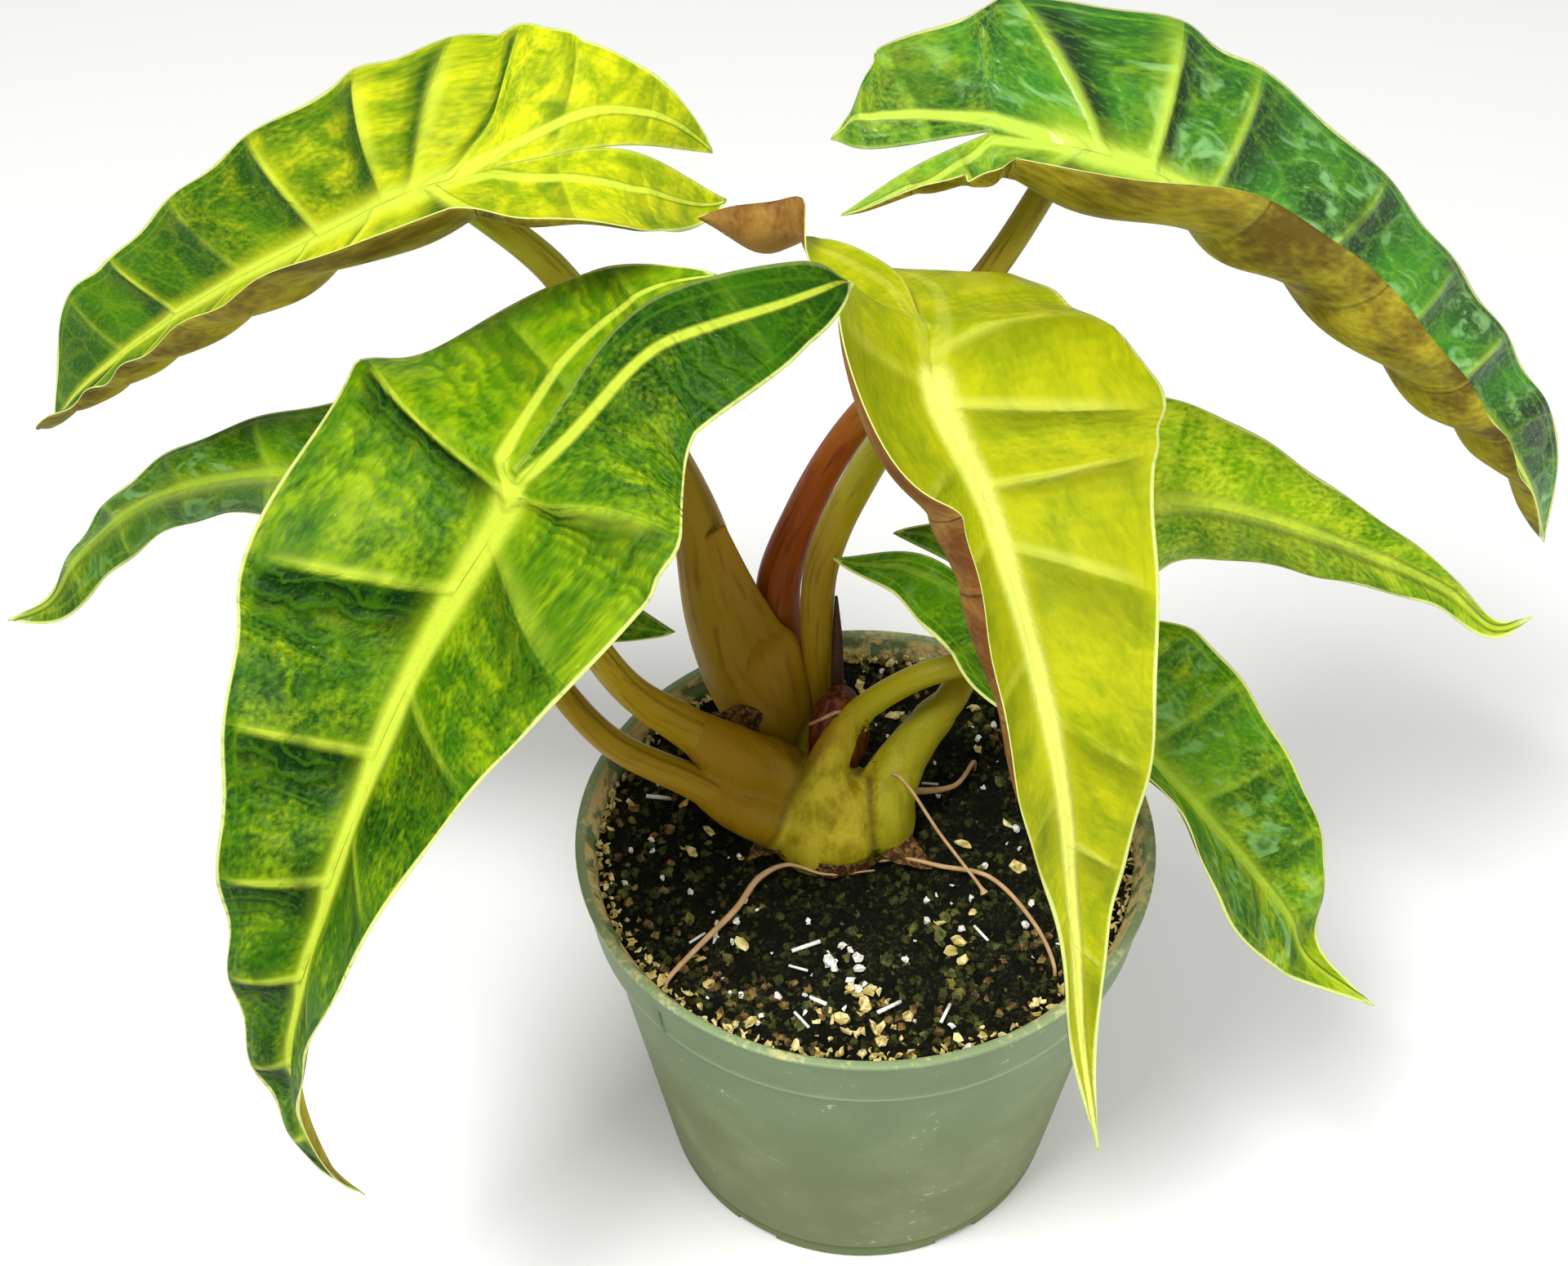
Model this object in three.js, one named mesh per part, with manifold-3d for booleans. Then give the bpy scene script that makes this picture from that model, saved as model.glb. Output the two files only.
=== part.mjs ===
// A young arrow-leaved alocasia in a small nursery pot.
// Millimetres, +Z up. The origin is the centre of the pot's underside, and -Y is the front.
import * as THREE from 'three';
import { mergeVertices } from 'three/addons/utils/BufferGeometryUtils.js';
import Module from 'manifold-3d';

const wasm = await Module();
wasm.setup();

// Clear gap between neighbouring pieces
const gap = 0.35;

// Nursery pot, 108 mm over the rim
const pot = {
  height: 84, rimRadius: 54, bandHeight: 13, bandStep: 1.6, baseRadius: 40, wall: 1.6,
  floor: 3.2, padRadius: 13, footWidth: 4, footRise: 1.6, segments: 36,
  drainCount: 6, drainRadius: 3.4, drainCircle: 25, notchCount: 6, notchWidth: 9,
};

// Potting soil, a little below the rim and slightly uneven
const soil = { top: 79, relief: 0.6, rings: 6 };

// Thickness and relief of every leaf blade
const blade = {
  thickness: 0.8, ribRise: 0.5, ribKeel: 1.1, ribReach: 4, tipWidth: 1.5,
  veinPitch: 0.15, veinRelief: 1, veinSweep: 0.12, rimWave: 1.1, scallop: 0.05,
};

// Where a blade's values stand along its length. The lobe tips are at -1, the stalk joins
// at 0, and the drip tip is at 1.
const station = {
  rib: [-0.1, 0, 0.25, 0.5, 0.75, 0.9, 1],
  lobe: [-1, -0.5, -0.1],
  width: [-1, -0.5, -0.1, 0, 0.25, 0.5, 0.75, 0.9, 1],
  bend: [-1, -0.1, 0.3, 0.7, 1],
};

// Grid lines of a blade: rows along it, with a side vein on every second row, and columns
// from rib to margin
const rows = [-1, -0.93, -0.8, -0.6, -0.42, -0.25, -0.1, 0];
for (let row = 1; row <= 12; row++) rows.push(row * blade.veinPitch / 2);
rows.push(0.955, 1);
const columns = [0, 0.09, 0.36, 0.68, 1];
const sinusRow = rows.indexOf(-0.1);

// Leaves. The heading is the direction of the rib in degrees, anticlockwise from +X, and left
// and right are seen along it. The rib runs from the notch between the lobes through the stalk
// joint to the drip tip. Each half has its lobe's tip and the middle of the lobe's inner edge,
// its widths from rib to margin, and how far it folds up and curls in degrees.
const leaves = {
  front_left: {
    heading: -124, color: 0x7fae1c,
    rib: [
      [-54, -16, 181], [-55, -17, 176], [-71, -31, 151], [-82, -58, 130],
      [-91, -68, 96], [-89, -69, 72], [-86, -65, 58],
    ],
    left: {
      lobe: [[-5, -20, 217], [-33, -2, 203]],
      width: [25, 32, 32, 30, 19, 7, 2],
      fold: [10, 10, 26, 40, 15],
      curl: [0, -10, -10, -5, 0],
    },
    right: {
      lobe: [[-24, 11, 198], [-38, 0, 191]],
      width: [27, 38, 37, 30, 19, 9, 3],
      fold: [5, 0, 36, 15, 15],
      curl: [-10, -20, -15, -25, 0],
    },
    stalk: {
      path: [
        [-13, 5, 85], [-17, 4, 92], [-24, 4, 98], [-32, 4, 105],
        [-42, 0, 119], [-50, -5, 142], [-56, -6, 162], [-55, -17, 178],
      ],
      radius: [5.5, 5.5, 5, 4, 3, 2.6, 2.4, 2.2],
    },
  },
  centre: {
    heading: -66, color: 0xb9c41d,
    rib: [
      [8, 6, 193], [9, -4, 189], [18, -16, 173], [28, -42, 150],
      [33, -52, 119], [36, -61, 97], [39, -68, 83],
    ],
    left: {
      lobe: [[-6, 27, 196], [2, 14, 200]],
      width: [25, 31, 35, 27, 16, 6, 2],
      fold: [-10, 5, 16, 16, 10],
      curl: [-25, -20, -15, -10, -5],
    },
    right: {
      lobe: [[-27, 20, 206], [-6, 20, 199]],
      width: [17, 26, 31, 29, 13, 3, 2],
      fold: [40, 30, 32, 5, 10],
      curl: [10, 30, 85, 30, 10],
    },
    stalk: {
      path: [
        [-9.5, 19.5, 81], [-9, 20, 98], [-9.5, 21, 113], [-9, 22.5, 127],
        [-6.5, 23.5, 137], [-1.5, 22, 151], [3, 16, 165], [9, -4, 191],
      ],
      radius: [3, 3.1, 3.1, 3.1, 3.1, 3, 2.7, 2.3],
    },
  },
  upper_left: {
    heading: 161, color: 0x9cb51e,
    rib: [
      [-61, 31, 205], [-72, 31, 201], [-92, 37, 188], [-117, 45, 170],
      [-138, 53, 152], [-152, 57, 139], [-160, 60, 129],
    ],
    left: {
      lobe: [[-25, 40, 194], [-42, 32, 208]],
      width: [23, 28, 29, 27, 23, 17, 13],
      fold: [-20, -10, -18, -20, -10],
      curl: [40, 65, 80, 62, 42],
    },
    right: {
      lobe: [[-28, 51, 196], [-43, 36, 206]],
      width: [19, 29, 30, 29, 24, 19, 17],
      fold: [33, 32, 43, 50, 45],
      curl: [-12, -18, -15, -7, 5],
    },
    stalk: {
      path: [
        [-15, 16.5, 80], [-18.5, 18, 93], [-24, 21.5, 103], [-28, 26, 114], [-32, 31, 132],
        [-42, 33, 158], [-53, 33, 183], [-64, 31, 196], [-73, 31, 203],
      ],
      radius: [7, 7.3, 7, 6.5, 4.8, 3.6, 2.9, 2.5, 2.3],
    },
  },
  upper_right: {
    heading: 3, color: 0x4f8f22,
    rib: [
      [18, 42, 206], [32, 42, 203], [59, 43, 190], [90, 44, 165],
      [112, 46, 145], [123, 46, 129], [128, 47, 117],
    ],
    left: {
      lobe: [[-8, 44, 203], [0, 38, 205]],
      width: [19, 27, 30, 29, 26, 17, 12],
      fold: [27, 30, 38, 36, 40],
      curl: [-15, -20, -18, -17, 5],
    },
    right: {
      lobe: [[-6, 26, 200], [6, 33, 205]],
      width: [15, 26, 31, 32, 26, 17, 9],
      fold: [-3, -9, -8, -18, -28],
      curl: [55, 86, 130, 86, 33],
    },
    stalk: {
      path: [
        [-13.5, 21.5, 80], [-15.5, 25, 103], [-17, 30, 117], [-12.5, 35, 131],
        [-4.5, 35, 149], [7.5, 34, 167], [20, 35, 186], [32, 42, 206],
      ],
      radius: [4, 4.3, 4.2, 3.4, 3, 2.8, 2.5, 2.3],
    },
  },
  mid_left: {
    heading: 164, color: 0x4c7f24,
    rib: [
      [-67, 12, 146], [-74, 13, 147], [-101, 22, 148], [-130, 30, 136],
      [-152, 36, 115], [-163, 39, 100], [-173, 42, 93],
    ],
    left: {
      lobe: [[-35, 15, 119], [-52, 11, 138]],
      width: [20, 22, 22, 17, 11, 7, 4],
      fold: [-54, -70, -100, -100, -50],
      curl: [-5, -20, -35, -35, -5],
    },
    right: {
      lobe: [[-40, 25, 142], [-52, 16, 143]],
      width: [17, 21, 23, 18, 12, 7, 2],
      fold: [27, 30, 18, 24, 20],
      curl: [-12, -15, -20, -15, 0],
    },
    stalk: {
      path: [
        [-14, 2, 82], [-20, -2, 88], [-31, -1, 96], [-47, 2, 104],
        [-60, 10, 117], [-68, 15, 132], [-74, 13, 149],
      ],
      radius: [4, 4, 3.2, 2.7, 2.4, 2.2, 2.1],
    },
  },
  right: {
    heading: 6, color: 0x8fae2a,
    rib: [
      [33, 23, 147], [38, 22, 146], [60, 24, 143], [83, 27, 133],
      [106, 29, 120], [117, 29, 111], [123, 30, 113],
    ],
    left: {
      lobe: [[18, 31, 147], [24, 25, 147]],
      width: [18, 23, 24, 20, 13, 6, 2],
      fold: [24, 24, 26, 16, 14],
      curl: [-13, -18, -16, -18, -5],
    },
    right: {
      lobe: [[17, 18, 148], [24, 21, 148]],
      width: [12, 14, 17, 19, 11, 4, 2],
      fold: [-30, -45, -98, -80, -44],
      curl: [-7, -23, -33, -25, -5],
    },
    stalk: {
      path: [
        [5, 5, 84], [7, 7, 90], [11, 11, 98], [16, 14, 106],
        [20, 22, 112], [25, 33, 121], [33, 35, 133], [38, 22, 148],
      ],
      radius: [4.6, 4.4, 3.6, 2.9, 2.6, 2.4, 2.2, 2.1],
    },
  },
  lower_right: {
    heading: -24, color: 0x6f9e22,
    rib: [
      [26, 8, 129], [30, 3, 126], [45, -4, 114], [61, -12, 100],
      [76, -18, 83], [82, -21, 73], [93, -26, 68],
    ],
    left: {
      lobe: [[4, 26, 134], [18, 17, 132]],
      width: [15, 16, 18, 25, 21, 13, 4],
      fold: [20, 15, 28, 25, 0],
      curl: [-10, -10, -20, -10, -10],
    },
    right: {
      lobe: [[-6.5, 14, 138.5], [11, 16, 137]],
      width: [14, 20, 25, 23, 19, 12, 5],
      fold: [0, 12, 42, 10, 7],
      curl: [-10, -7, -6, -17, -5],
    },
    stalk: {
      path: [
        [-6, 0, 92], [-5, 2, 98], [-2, 7, 106],
        [8, 8, 115], [19, 8, 120], [30, 3, 128],
      ],
      radius: [5.5, 4.6, 3.4, 2.5, 2.3, 2.2],
    },
  },
};

// Corm: swollen bulb in front, side lobe on the right, old stem base behind
const corm = {
  bulb: { centre: [-6, 4, 85], size: [13.5, 12.5, 17] },
  shoulder: { centre: [4, 4, 87], size: [8, 8, 14] },
  heel: { centre: [-15, 7, 84], size: [8, 9, 11] },
  stem: { path: [[-14, 17.5, 66], [-14.5, 17.5, 78], [-14.5, 17.5, 87]], radius: [9, 10.5, 9.6] },
  folds: 5, foldDepth: 0.7, roots: { radius: 0.9, sides: 5 },
};
const rootPaths = [
  [
    [-13, 0, 84], [-21, -8, 82], [-24, -18, 81.3],
    [-30, -28, 81.3], [-34.5, -34.5, 80.5], [-34.8, -34.8, 77],
  ],
  [
    [2, 0, 86], [12, -5, 81.8], [23, -9, 81.3],
    [31, -20, 81.3], [34, -29, 81], [34.3, -30, 77],
  ],
  [[2, 5, 92], [6, 1, 97], [14, -7, 90], [22, -14, 82.5]],
  [[4, 8, 85], [17, 13, 81.8], [21, 20, 81.2], [21.3, 21, 77]],
];

// Dark bud with its dried, upright sheath tip
const bud = {
  path: [[-6, 11, 90], [-6, 11, 97], [-6, 11, 104], [-6, 12, 108.5]],
  radius: [4.6, 5.2, 4.2, 1.2],
};
const sheathTip = {
  path: [[-5.5, 15.5, 98], [-5.6, 17, 106], [-5.7, 19.5, 114], [-6, 21, 123]],
  radius: [1.3, 1.3, 1, 0.5],
};

// The value at place s, on a smooth curve through a list of values that stand at the stations
function smooth(stations, values, s) {
  const last = stations.length - 1;
  const secant = (i) => (values[i + 1] - values[i]) / (stations[i + 1] - stations[i]);
  const slope = (i) => {
    if (i === 0) return secant(0);
    if (i === last) return secant(last - 1);
    const before = stations[i] - stations[i - 1];
    const after = stations[i + 1] - stations[i];
    return (after * secant(i - 1) + before * secant(i)) / (before + after);
  };
  let i = 0;
  while (i < last - 1 && s >= stations[i + 1]) i++;
  const step = stations[i + 1] - stations[i];
  const f = (s - stations[i]) / step;
  const f2 = f * f;
  const f3 = f2 * f;
  return (2 * f3 - 3 * f2 + 1) * values[i] + (f3 - 2 * f2 + f) * step * slope(i)
    + (3 * f2 - 2 * f3) * values[i + 1] + (f3 - f2) * step * slope(i + 1);
}

function smoothPoint(stations, points, s) {
  return new THREE.Vector3(...[0, 1, 2].map((axis) => smooth(stations, points.map((p) => p[axis]), s)));
}

// One half of a blade: a point at place s along it, at the share t of the way to the margin
function halfBlade(leaf, half, side) {
  const angle = THREE.MathUtils.degToRad(leaf.heading);
  const across = new THREE.Vector3(Math.sin(angle), -Math.cos(angle), 0);
  const inner = [...half.lobe, leaf.rib[0]];
  const whole = [...half.lobe, ...leaf.rib];
  const stations = [...station.lobe.slice(0, 2), ...station.rib];
  const widths = [0, ...half.width, 0];
  const start = (s) => (s >= station.rib[0]
    ? smoothPoint(station.rib, leaf.rib, s) : smoothPoint(station.lobe, inner, s));
  const tangentOf = (s) => {
    const h = 0.02;
    const a = smoothPoint(stations, whole, Math.max(s - h, -1));
    const b = smoothPoint(stations, whole, Math.min(s + h, 1));
    return b.sub(a).normalize();
  };
  const acrossAt = stations.map((s) => {
    const t = tangentOf(s);
    return across.clone().addScaledVector(t, -t.dot(across)).normalize();
  });
  const point = (s, t) => {
    let i = 0;
    while (i < stations.length - 2 && s >= stations[i + 1]) i++;
    const f = (s - stations[i]) / (stations[i + 1] - stations[i]);
    const outward = acrossAt[i].clone().lerp(acrossAt[i + 1], f).normalize();
    const up = outward.clone().cross(tangentOf(s)).normalize();
    const width = Math.max(smooth(station.width, widths, s), blade.tipWidth);
    const fold = THREE.MathUtils.degToRad(smooth(station.bend, half.fold, s));
    const curl = THREE.MathUtils.degToRad(smooth(station.bend, half.curl, s));
    const p = start(s);
    const steps = 12;
    for (let k = 0; k < steps; k++) {
      const tau = (k + 0.5) / steps * t;
      const bend = fold + curl * tau * tau;
      const reach = width * t / steps;
      p.addScaledVector(outward, side * Math.cos(bend) * reach).addScaledVector(up, Math.sin(bend) * reach);
    }
    return p;
  };
  return point;
}

// How far side veins sweep towards the tip (or the lobe tip) on their way to the margin
function sweep(row, t) {
  const lean = THREE.MathUtils.clamp(row / 0.3, -0.6, 1);
  return row + blade.veinSweep * lean * t * (1 - row * row);
}

// Relief of the upper face: ridges on the side veins, hollows between them, more towards the margin
function veinWave(row) {
  const rise = THREE.MathUtils.smoothstep(row, -0.1, 0.05);
  const fall = 1 - THREE.MathUtils.smoothstep(row, 0.75, 0.95);
  return rise * fall * Math.cos(2 * Math.PI * row / blade.veinPitch);
}

// The blade as one closed solid: the upper face, the same triangles below it, and the edge between them
function bladeSolid(leaf, grow) {
  const upper = [];
  const detail = [];
  const grid = [[], []];
  for (const which of [0, 1]) {
    const point = which === 0 ? halfBlade(leaf, leaf.left, -1) : halfBlade(leaf, leaf.right, 1);
    rows.forEach((row, r) => {
      const line = [];
      const wave = veinWave(row);
      const taper = r >= sinusRow ? 1 - THREE.MathUtils.smoothstep(row, 0.5, 1) : 0;
      columns.forEach((t, c) => {
        if (which === 1 && c === 0 && r >= sinusRow) {
          line.push(grid[0][r][0]);
          return;
        }
        upper.push(point(sweep(row, t), t * (1 + blade.scallop * wave)));
        line.push(upper.length - 1);
        detail.push({
          root: line[0],
          rib: c === 0 ? taper : 0,
          wave: wave * (4 * blade.veinRelief * t * (1 - t) + blade.rimWave * t * t * t),
        });
      });
      grid[which].push(line);
    });
  }
  const faces = [];
  for (const which of [0, 1]) {
    for (let r = 0; r + 1 < rows.length; r++) {
      for (let c = 0; c + 1 < columns.length; c++) {
        const g = grid[which];
        const quad = [g[r][c], g[r + 1][c], g[r + 1][c + 1], g[r][c + 1]];
        if (which === 1) quad.reverse();
        faces.push([quad[0], quad[1], quad[2]], [quad[0], quad[2], quad[3]]);
      }
    }
  }
  const normals = upper.map(() => new THREE.Vector3());
  const edges = new Map();
  for (const [a, b, c] of faces) {
    const n = upper[b].clone().sub(upper[a]).cross(upper[c].clone().sub(upper[a]));
    for (const v of [a, b, c]) normals[v].add(n);
    for (const [u, v] of [[a, b], [b, c], [c, a]]) {
      if (!edges.delete(`${v} ${u}`)) edges.set(`${u} ${v}`, [u, v]);
    }
  }
  for (const n of normals) n.normalize();
  const up = normals.map((n, i) => {
    const { root } = detail[i];
    const near = THREE.MathUtils.smoothstep(upper[i].distanceTo(upper[root]), 0, blade.ribReach);
    return normals[root].clone().lerp(n, near).normalize();
  });
  const raised = (i, height) => upper[i].clone().addScaledVector(up[i], detail[i].wave + height);
  const top = detail.map((d, i) => raised(i, d.rib * blade.ribRise + grow));
  const bottom = detail.map((d, i) => raised(i, -blade.thickness - d.rib * blade.ribKeel - grow));
  const count = upper.length;
  const index = [];
  for (const [a, b, c] of faces) index.push(a, b, c, a + count, c + count, b + count);
  for (const [u, v] of edges.values()) index.push(u, u + count, v, v, u + count, v + count);
  return solidOf([...top, ...bottom], index);
}

// A solid from points and triangles
function solidOf(points, index) {
  const geometry = new THREE.BufferGeometry().setFromPoints(points);
  geometry.setIndex(index);
  return solidFrom(geometry);
}

function solidFrom(geometry) {
  geometry.deleteAttribute('normal');
  geometry.deleteAttribute('uv');
  const merged = mergeVertices(geometry, 1e-4);
  return new wasm.Manifold(new wasm.Mesh({
    numProp: 3,
    vertProperties: new Float32Array(merged.attributes.position.array),
    triVerts: new Uint32Array(merged.index.array),
  }));
}

// A round stalk along a smooth path, its radius following the path's points
function stalkSolid(path, radii, grow = 0, sides = 10, perSpan = 2) {
  const curve = new THREE.CatmullRomCurve3(path.map((p) => new THREE.Vector3(...p)), false, 'centripetal');
  const spans = path.length - 1;
  const steps = spans * perSpan;
  const stations = path.map((_, i) => i);
  const points = [];
  const index = [];
  const reference = new THREE.Vector3(0.31, 0.95, 0.05);
  for (let k = 0; k <= steps; k++) {
    const u = k / steps;
    const tangent = curve.getTangent(u);
    const side = reference.clone().cross(tangent).normalize();
    const other = tangent.clone().cross(side);
    const radius = smooth(stations, radii, u * spans) + grow;
    const centre = curve.getPoint(u);
    if (k === 0) centre.addScaledVector(tangent, -grow);
    if (k === steps) centre.addScaledVector(tangent, grow);
    for (let j = 0; j < sides; j++) {
      const angle = 2 * Math.PI * j / sides;
      const point = centre.clone().addScaledVector(side, radius * Math.cos(angle));
      points.push(point.addScaledVector(other, radius * Math.sin(angle)));
    }
  }
  for (let k = 0; k < steps; k++) {
    for (let j = 0; j < sides; j++) {
      const a = k * sides + j;
      const b = k * sides + (j + 1) % sides;
      index.push(a, b, b + sides, a, b + sides, a + sides);
    }
  }
  const end = steps * sides;
  for (let j = 1; j + 1 < sides; j++) {
    index.push(0, j + 1, j);
    index.push(end, end + j, end + j + 1);
  }
  return solidOf(points, index);
}

// An egg-shaped swelling with shallow upright folds
function swelling({ centre, size }, grow) {
  const geometry = new THREE.SphereGeometry(1, 16, 12);
  geometry.rotateX(Math.PI / 2);
  const position = geometry.attributes.position;
  const p = new THREE.Vector3();
  for (let i = 0; i < position.count; i++) {
    p.fromBufferAttribute(position, i);
    const around = Math.atan2(p.y, p.x);
    const fold = corm.foldDepth * Math.abs(Math.sin(around * corm.folds / 2)) * (1 - p.z * p.z);
    const [rx, ry, rz] = size.map((r) => r + grow);
    position.setXYZ(i, centre[0] + p.x * (rx - fold), centre[1] + p.y * (ry - fold), centre[2] + p.z * rz);
  }
  return solidFrom(geometry);
}

function cormSolid(grow) {
  let body = swelling(corm.bulb, grow)
    .add(swelling(corm.shoulder, grow))
    .add(swelling(corm.heel, grow))
    .add(stalkSolid(corm.stem.path, corm.stem.radius, grow, 12));
  for (const path of rootPaths) {
    body = body.add(stalkSolid(path, path.map(() => corm.roots.radius), grow, corm.roots.sides, 2));
  }
  return body;
}

// Keeps the largest piece, where a cut leaves loose scraps
function largest(solid) {
  return solid.decompose().reduce((best, piece) => (piece.volume() > best.volume() ? piece : best));
}

function latheSolid(profile, segments) {
  const geometry = new THREE.LatheGeometry(profile.map(([r, z]) => new THREE.Vector2(r, z)), segments);
  geometry.rotateX(Math.PI / 2);
  return solidFrom(geometry);
}

// Pot wall radius at a height, without the rim band
function wallRadius(z) {
  const top = pot.rimRadius - pot.bandStep;
  return pot.baseRadius + (top - pot.baseRadius) * z / pot.height;
}

function potSolid() {
  const bandFoot = pot.height - pot.bandHeight;
  const lip = 0.6;
  const profile = [
    [0, 0], [pot.padRadius, 0], [pot.padRadius + pot.footRise, pot.footRise],
    [pot.baseRadius - pot.footWidth - pot.footRise, pot.footRise], [pot.baseRadius - pot.footWidth, 0],
    [pot.baseRadius, 0], [wallRadius(bandFoot), bandFoot - pot.bandStep / 2],
    [wallRadius(bandFoot) + pot.bandStep, bandFoot], [pot.rimRadius - lip, pot.height - lip],
    [pot.rimRadius, pot.height - lip], [pot.rimRadius, pot.height],
    [wallRadius(pot.height) - pot.wall, pot.height],
    [wallRadius(pot.floor) - pot.wall, pot.floor], [0, pot.floor], [0, 0],
  ];
  let body = latheSolid(profile, pot.segments);
  for (let k = 0; k < pot.drainCount; k++) {
    const angle = 2 * Math.PI * (k + 0.5) / pot.drainCount;
    const drill = new THREE.CylinderGeometry(pot.drainRadius, pot.drainRadius, 3 * pot.floor, 12);
    drill.rotateX(Math.PI / 2);
    drill.translate(pot.drainCircle * Math.cos(angle), pot.drainCircle * Math.sin(angle), pot.floor / 2);
    body = body.subtract(solidFrom(drill));
  }
  for (let k = 0; k < pot.notchCount; k++) {
    const angle = 2 * Math.PI * k / pot.notchCount;
    const slot = new THREE.BoxGeometry(3 * pot.footWidth, pot.notchWidth, 2 * pot.footRise);
    slot.translate(pot.baseRadius, 0, 0);
    slot.rotateZ(angle);
    body = body.subtract(solidFrom(slot));
  }
  return body;
}

// The soil fills the pot and rises and falls gently at its top
function soilSolid() {
  const radius = wallRadius(soil.top) - pot.wall - gap;
  const foot = pot.floor + gap;
  const footRadius = wallRadius(foot) - pot.wall - gap;
  const profile = [[0, foot], [footRadius, foot], [radius, soil.top]];
  for (let ring = soil.rings - 1; ring > 0; ring--) profile.push([radius * ring / soil.rings, soil.top]);
  profile.push([0, soil.top], [0, foot]);
  const geometry = new THREE.LatheGeometry(profile.map(([r, z]) => new THREE.Vector2(r, z)), pot.segments);
  geometry.rotateX(Math.PI / 2);
  const position = geometry.attributes.position;
  for (let i = 0; i < position.count; i++) {
    const [x, y, z] = [position.getX(i), position.getY(i), position.getZ(i)];
    const edge = 1 - Math.pow(Math.hypot(x, y) / radius, 4);
    const lift = soil.relief * (Math.sin(x / 7 + 1) * Math.cos(y / 6) + 0.5 * Math.sin((x + y) / 4));
    if (z > soil.top - 1) position.setZ(i, z + Math.max(edge, 0) * lift);
  }
  return solidFrom(geometry);
}

// Cut every piece clear of those it meets
const names = Object.keys(leaves);
const bladesGrown = Object.fromEntries(names.map((name) => [name, bladeSolid(leaves[name], gap)]));
const stalk = (name, grow = 0) => stalkSolid(leaves[name].stalk.path, leaves[name].stalk.radius, grow);
const stalkOrder = [
  'upper_left', 'upper_right', 'centre', 'mid_left', 'front_left', 'right', 'lower_right',
];

const solids = { pot: potSolid(), soil: largest(soilSolid().subtract(cormSolid(gap))) };

let cormBody = cormSolid(0);
for (const name of names) cormBody = cormBody.subtract(stalk(name, gap));
cormBody = cormBody.subtract(stalkSolid(bud.path, bud.radius, gap))
  .subtract(stalkSolid(sheathTip.path, sheathTip.radius, gap, 6));
solids.corm_and_roots = largest(cormBody);

let budBody = stalkSolid(bud.path, bud.radius);
for (const name of names) budBody = budBody.subtract(stalk(name, gap));
solids.bud = largest(budBody.subtract(stalkSolid(sheathTip.path, sheathTip.radius, gap, 6)));

let tipBody = stalkSolid(sheathTip.path, sheathTip.radius, 0, 6);
for (const name of names) tipBody = tipBody.subtract(stalk(name, gap));
solids.dried_sheath_tip = largest(tipBody);

stalkOrder.forEach((name, order) => {
  let body = stalk(name).subtract(bladesGrown[name]);
  for (const later of stalkOrder.slice(order + 1)) body = body.subtract(stalk(later, gap));
  solids[`stalk_${name}`] = largest(body);
});

for (const name of names) solids[`blade_${name}`] = bladeSolid(leaves[name], 0);

// Colours of the pieces, and the scene graph
const colors = {
  pot: 0x7f9a72, soil: 0x1d2012, corm_and_roots: 0x8f8a3c, bud: 0x4a1710,
  dried_sheath_tip: 0x3a140c, stalk: 0x8a8a30, stalk_upper_right: 0x7a4a20,
};
const roughness = { pot: 0.6, soil: 0.95, living: 0.4 };

function meshOf(name, solid) {
  const { vertProperties, triVerts } = solid.getMesh();
  const geometry = new THREE.BufferGeometry();
  geometry.setAttribute('position', new THREE.BufferAttribute(new Float32Array(vertProperties), 3));
  geometry.setIndex(new THREE.BufferAttribute(new Uint32Array(triVerts), 1));
  geometry.computeVertexNormals();
  const blade = leaves[name.replace('blade_', '')];
  const material = new THREE.MeshStandardMaterial({
    color: blade?.color ?? colors[name] ?? colors.stalk,
    roughness: roughness[name] ?? roughness.living,
    metalness: 0,
  });
  const mesh = new THREE.Mesh(geometry, material);
  mesh.name = name;
  return mesh;
}

const plant = new THREE.Group();
for (const [name, solid] of Object.entries(solids)) plant.add(meshOf(name, solid));

export default plant;
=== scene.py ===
"""A young variegated alocasia in a small nursery pot, made ready to render.

Metres, +Z up, in the frame of the CAD model, with -Y at the front.
"""
import math

import bpy
import numpy as np
from mathutils import Matrix, Vector, noise


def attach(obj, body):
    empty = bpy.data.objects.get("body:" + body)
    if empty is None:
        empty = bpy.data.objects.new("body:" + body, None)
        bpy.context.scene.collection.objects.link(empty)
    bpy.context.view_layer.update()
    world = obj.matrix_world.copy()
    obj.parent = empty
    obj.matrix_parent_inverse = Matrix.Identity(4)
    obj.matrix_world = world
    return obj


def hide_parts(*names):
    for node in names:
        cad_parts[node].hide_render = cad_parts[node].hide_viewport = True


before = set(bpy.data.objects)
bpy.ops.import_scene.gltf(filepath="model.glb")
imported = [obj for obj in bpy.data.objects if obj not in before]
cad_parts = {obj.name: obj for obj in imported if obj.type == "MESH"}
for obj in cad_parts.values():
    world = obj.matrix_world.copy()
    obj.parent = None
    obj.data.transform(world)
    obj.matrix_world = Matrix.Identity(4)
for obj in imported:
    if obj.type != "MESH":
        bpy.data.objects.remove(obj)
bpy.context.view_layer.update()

# Pot --------------------------------------------------------------------------------
# A thin nursery pot, injection moulded in sage-green polypropylene: matt, lightly scuffed, with a
# stepped rim band, a foot ring and drain holes. Lime and dried soil have crusted inside its rim.

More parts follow.
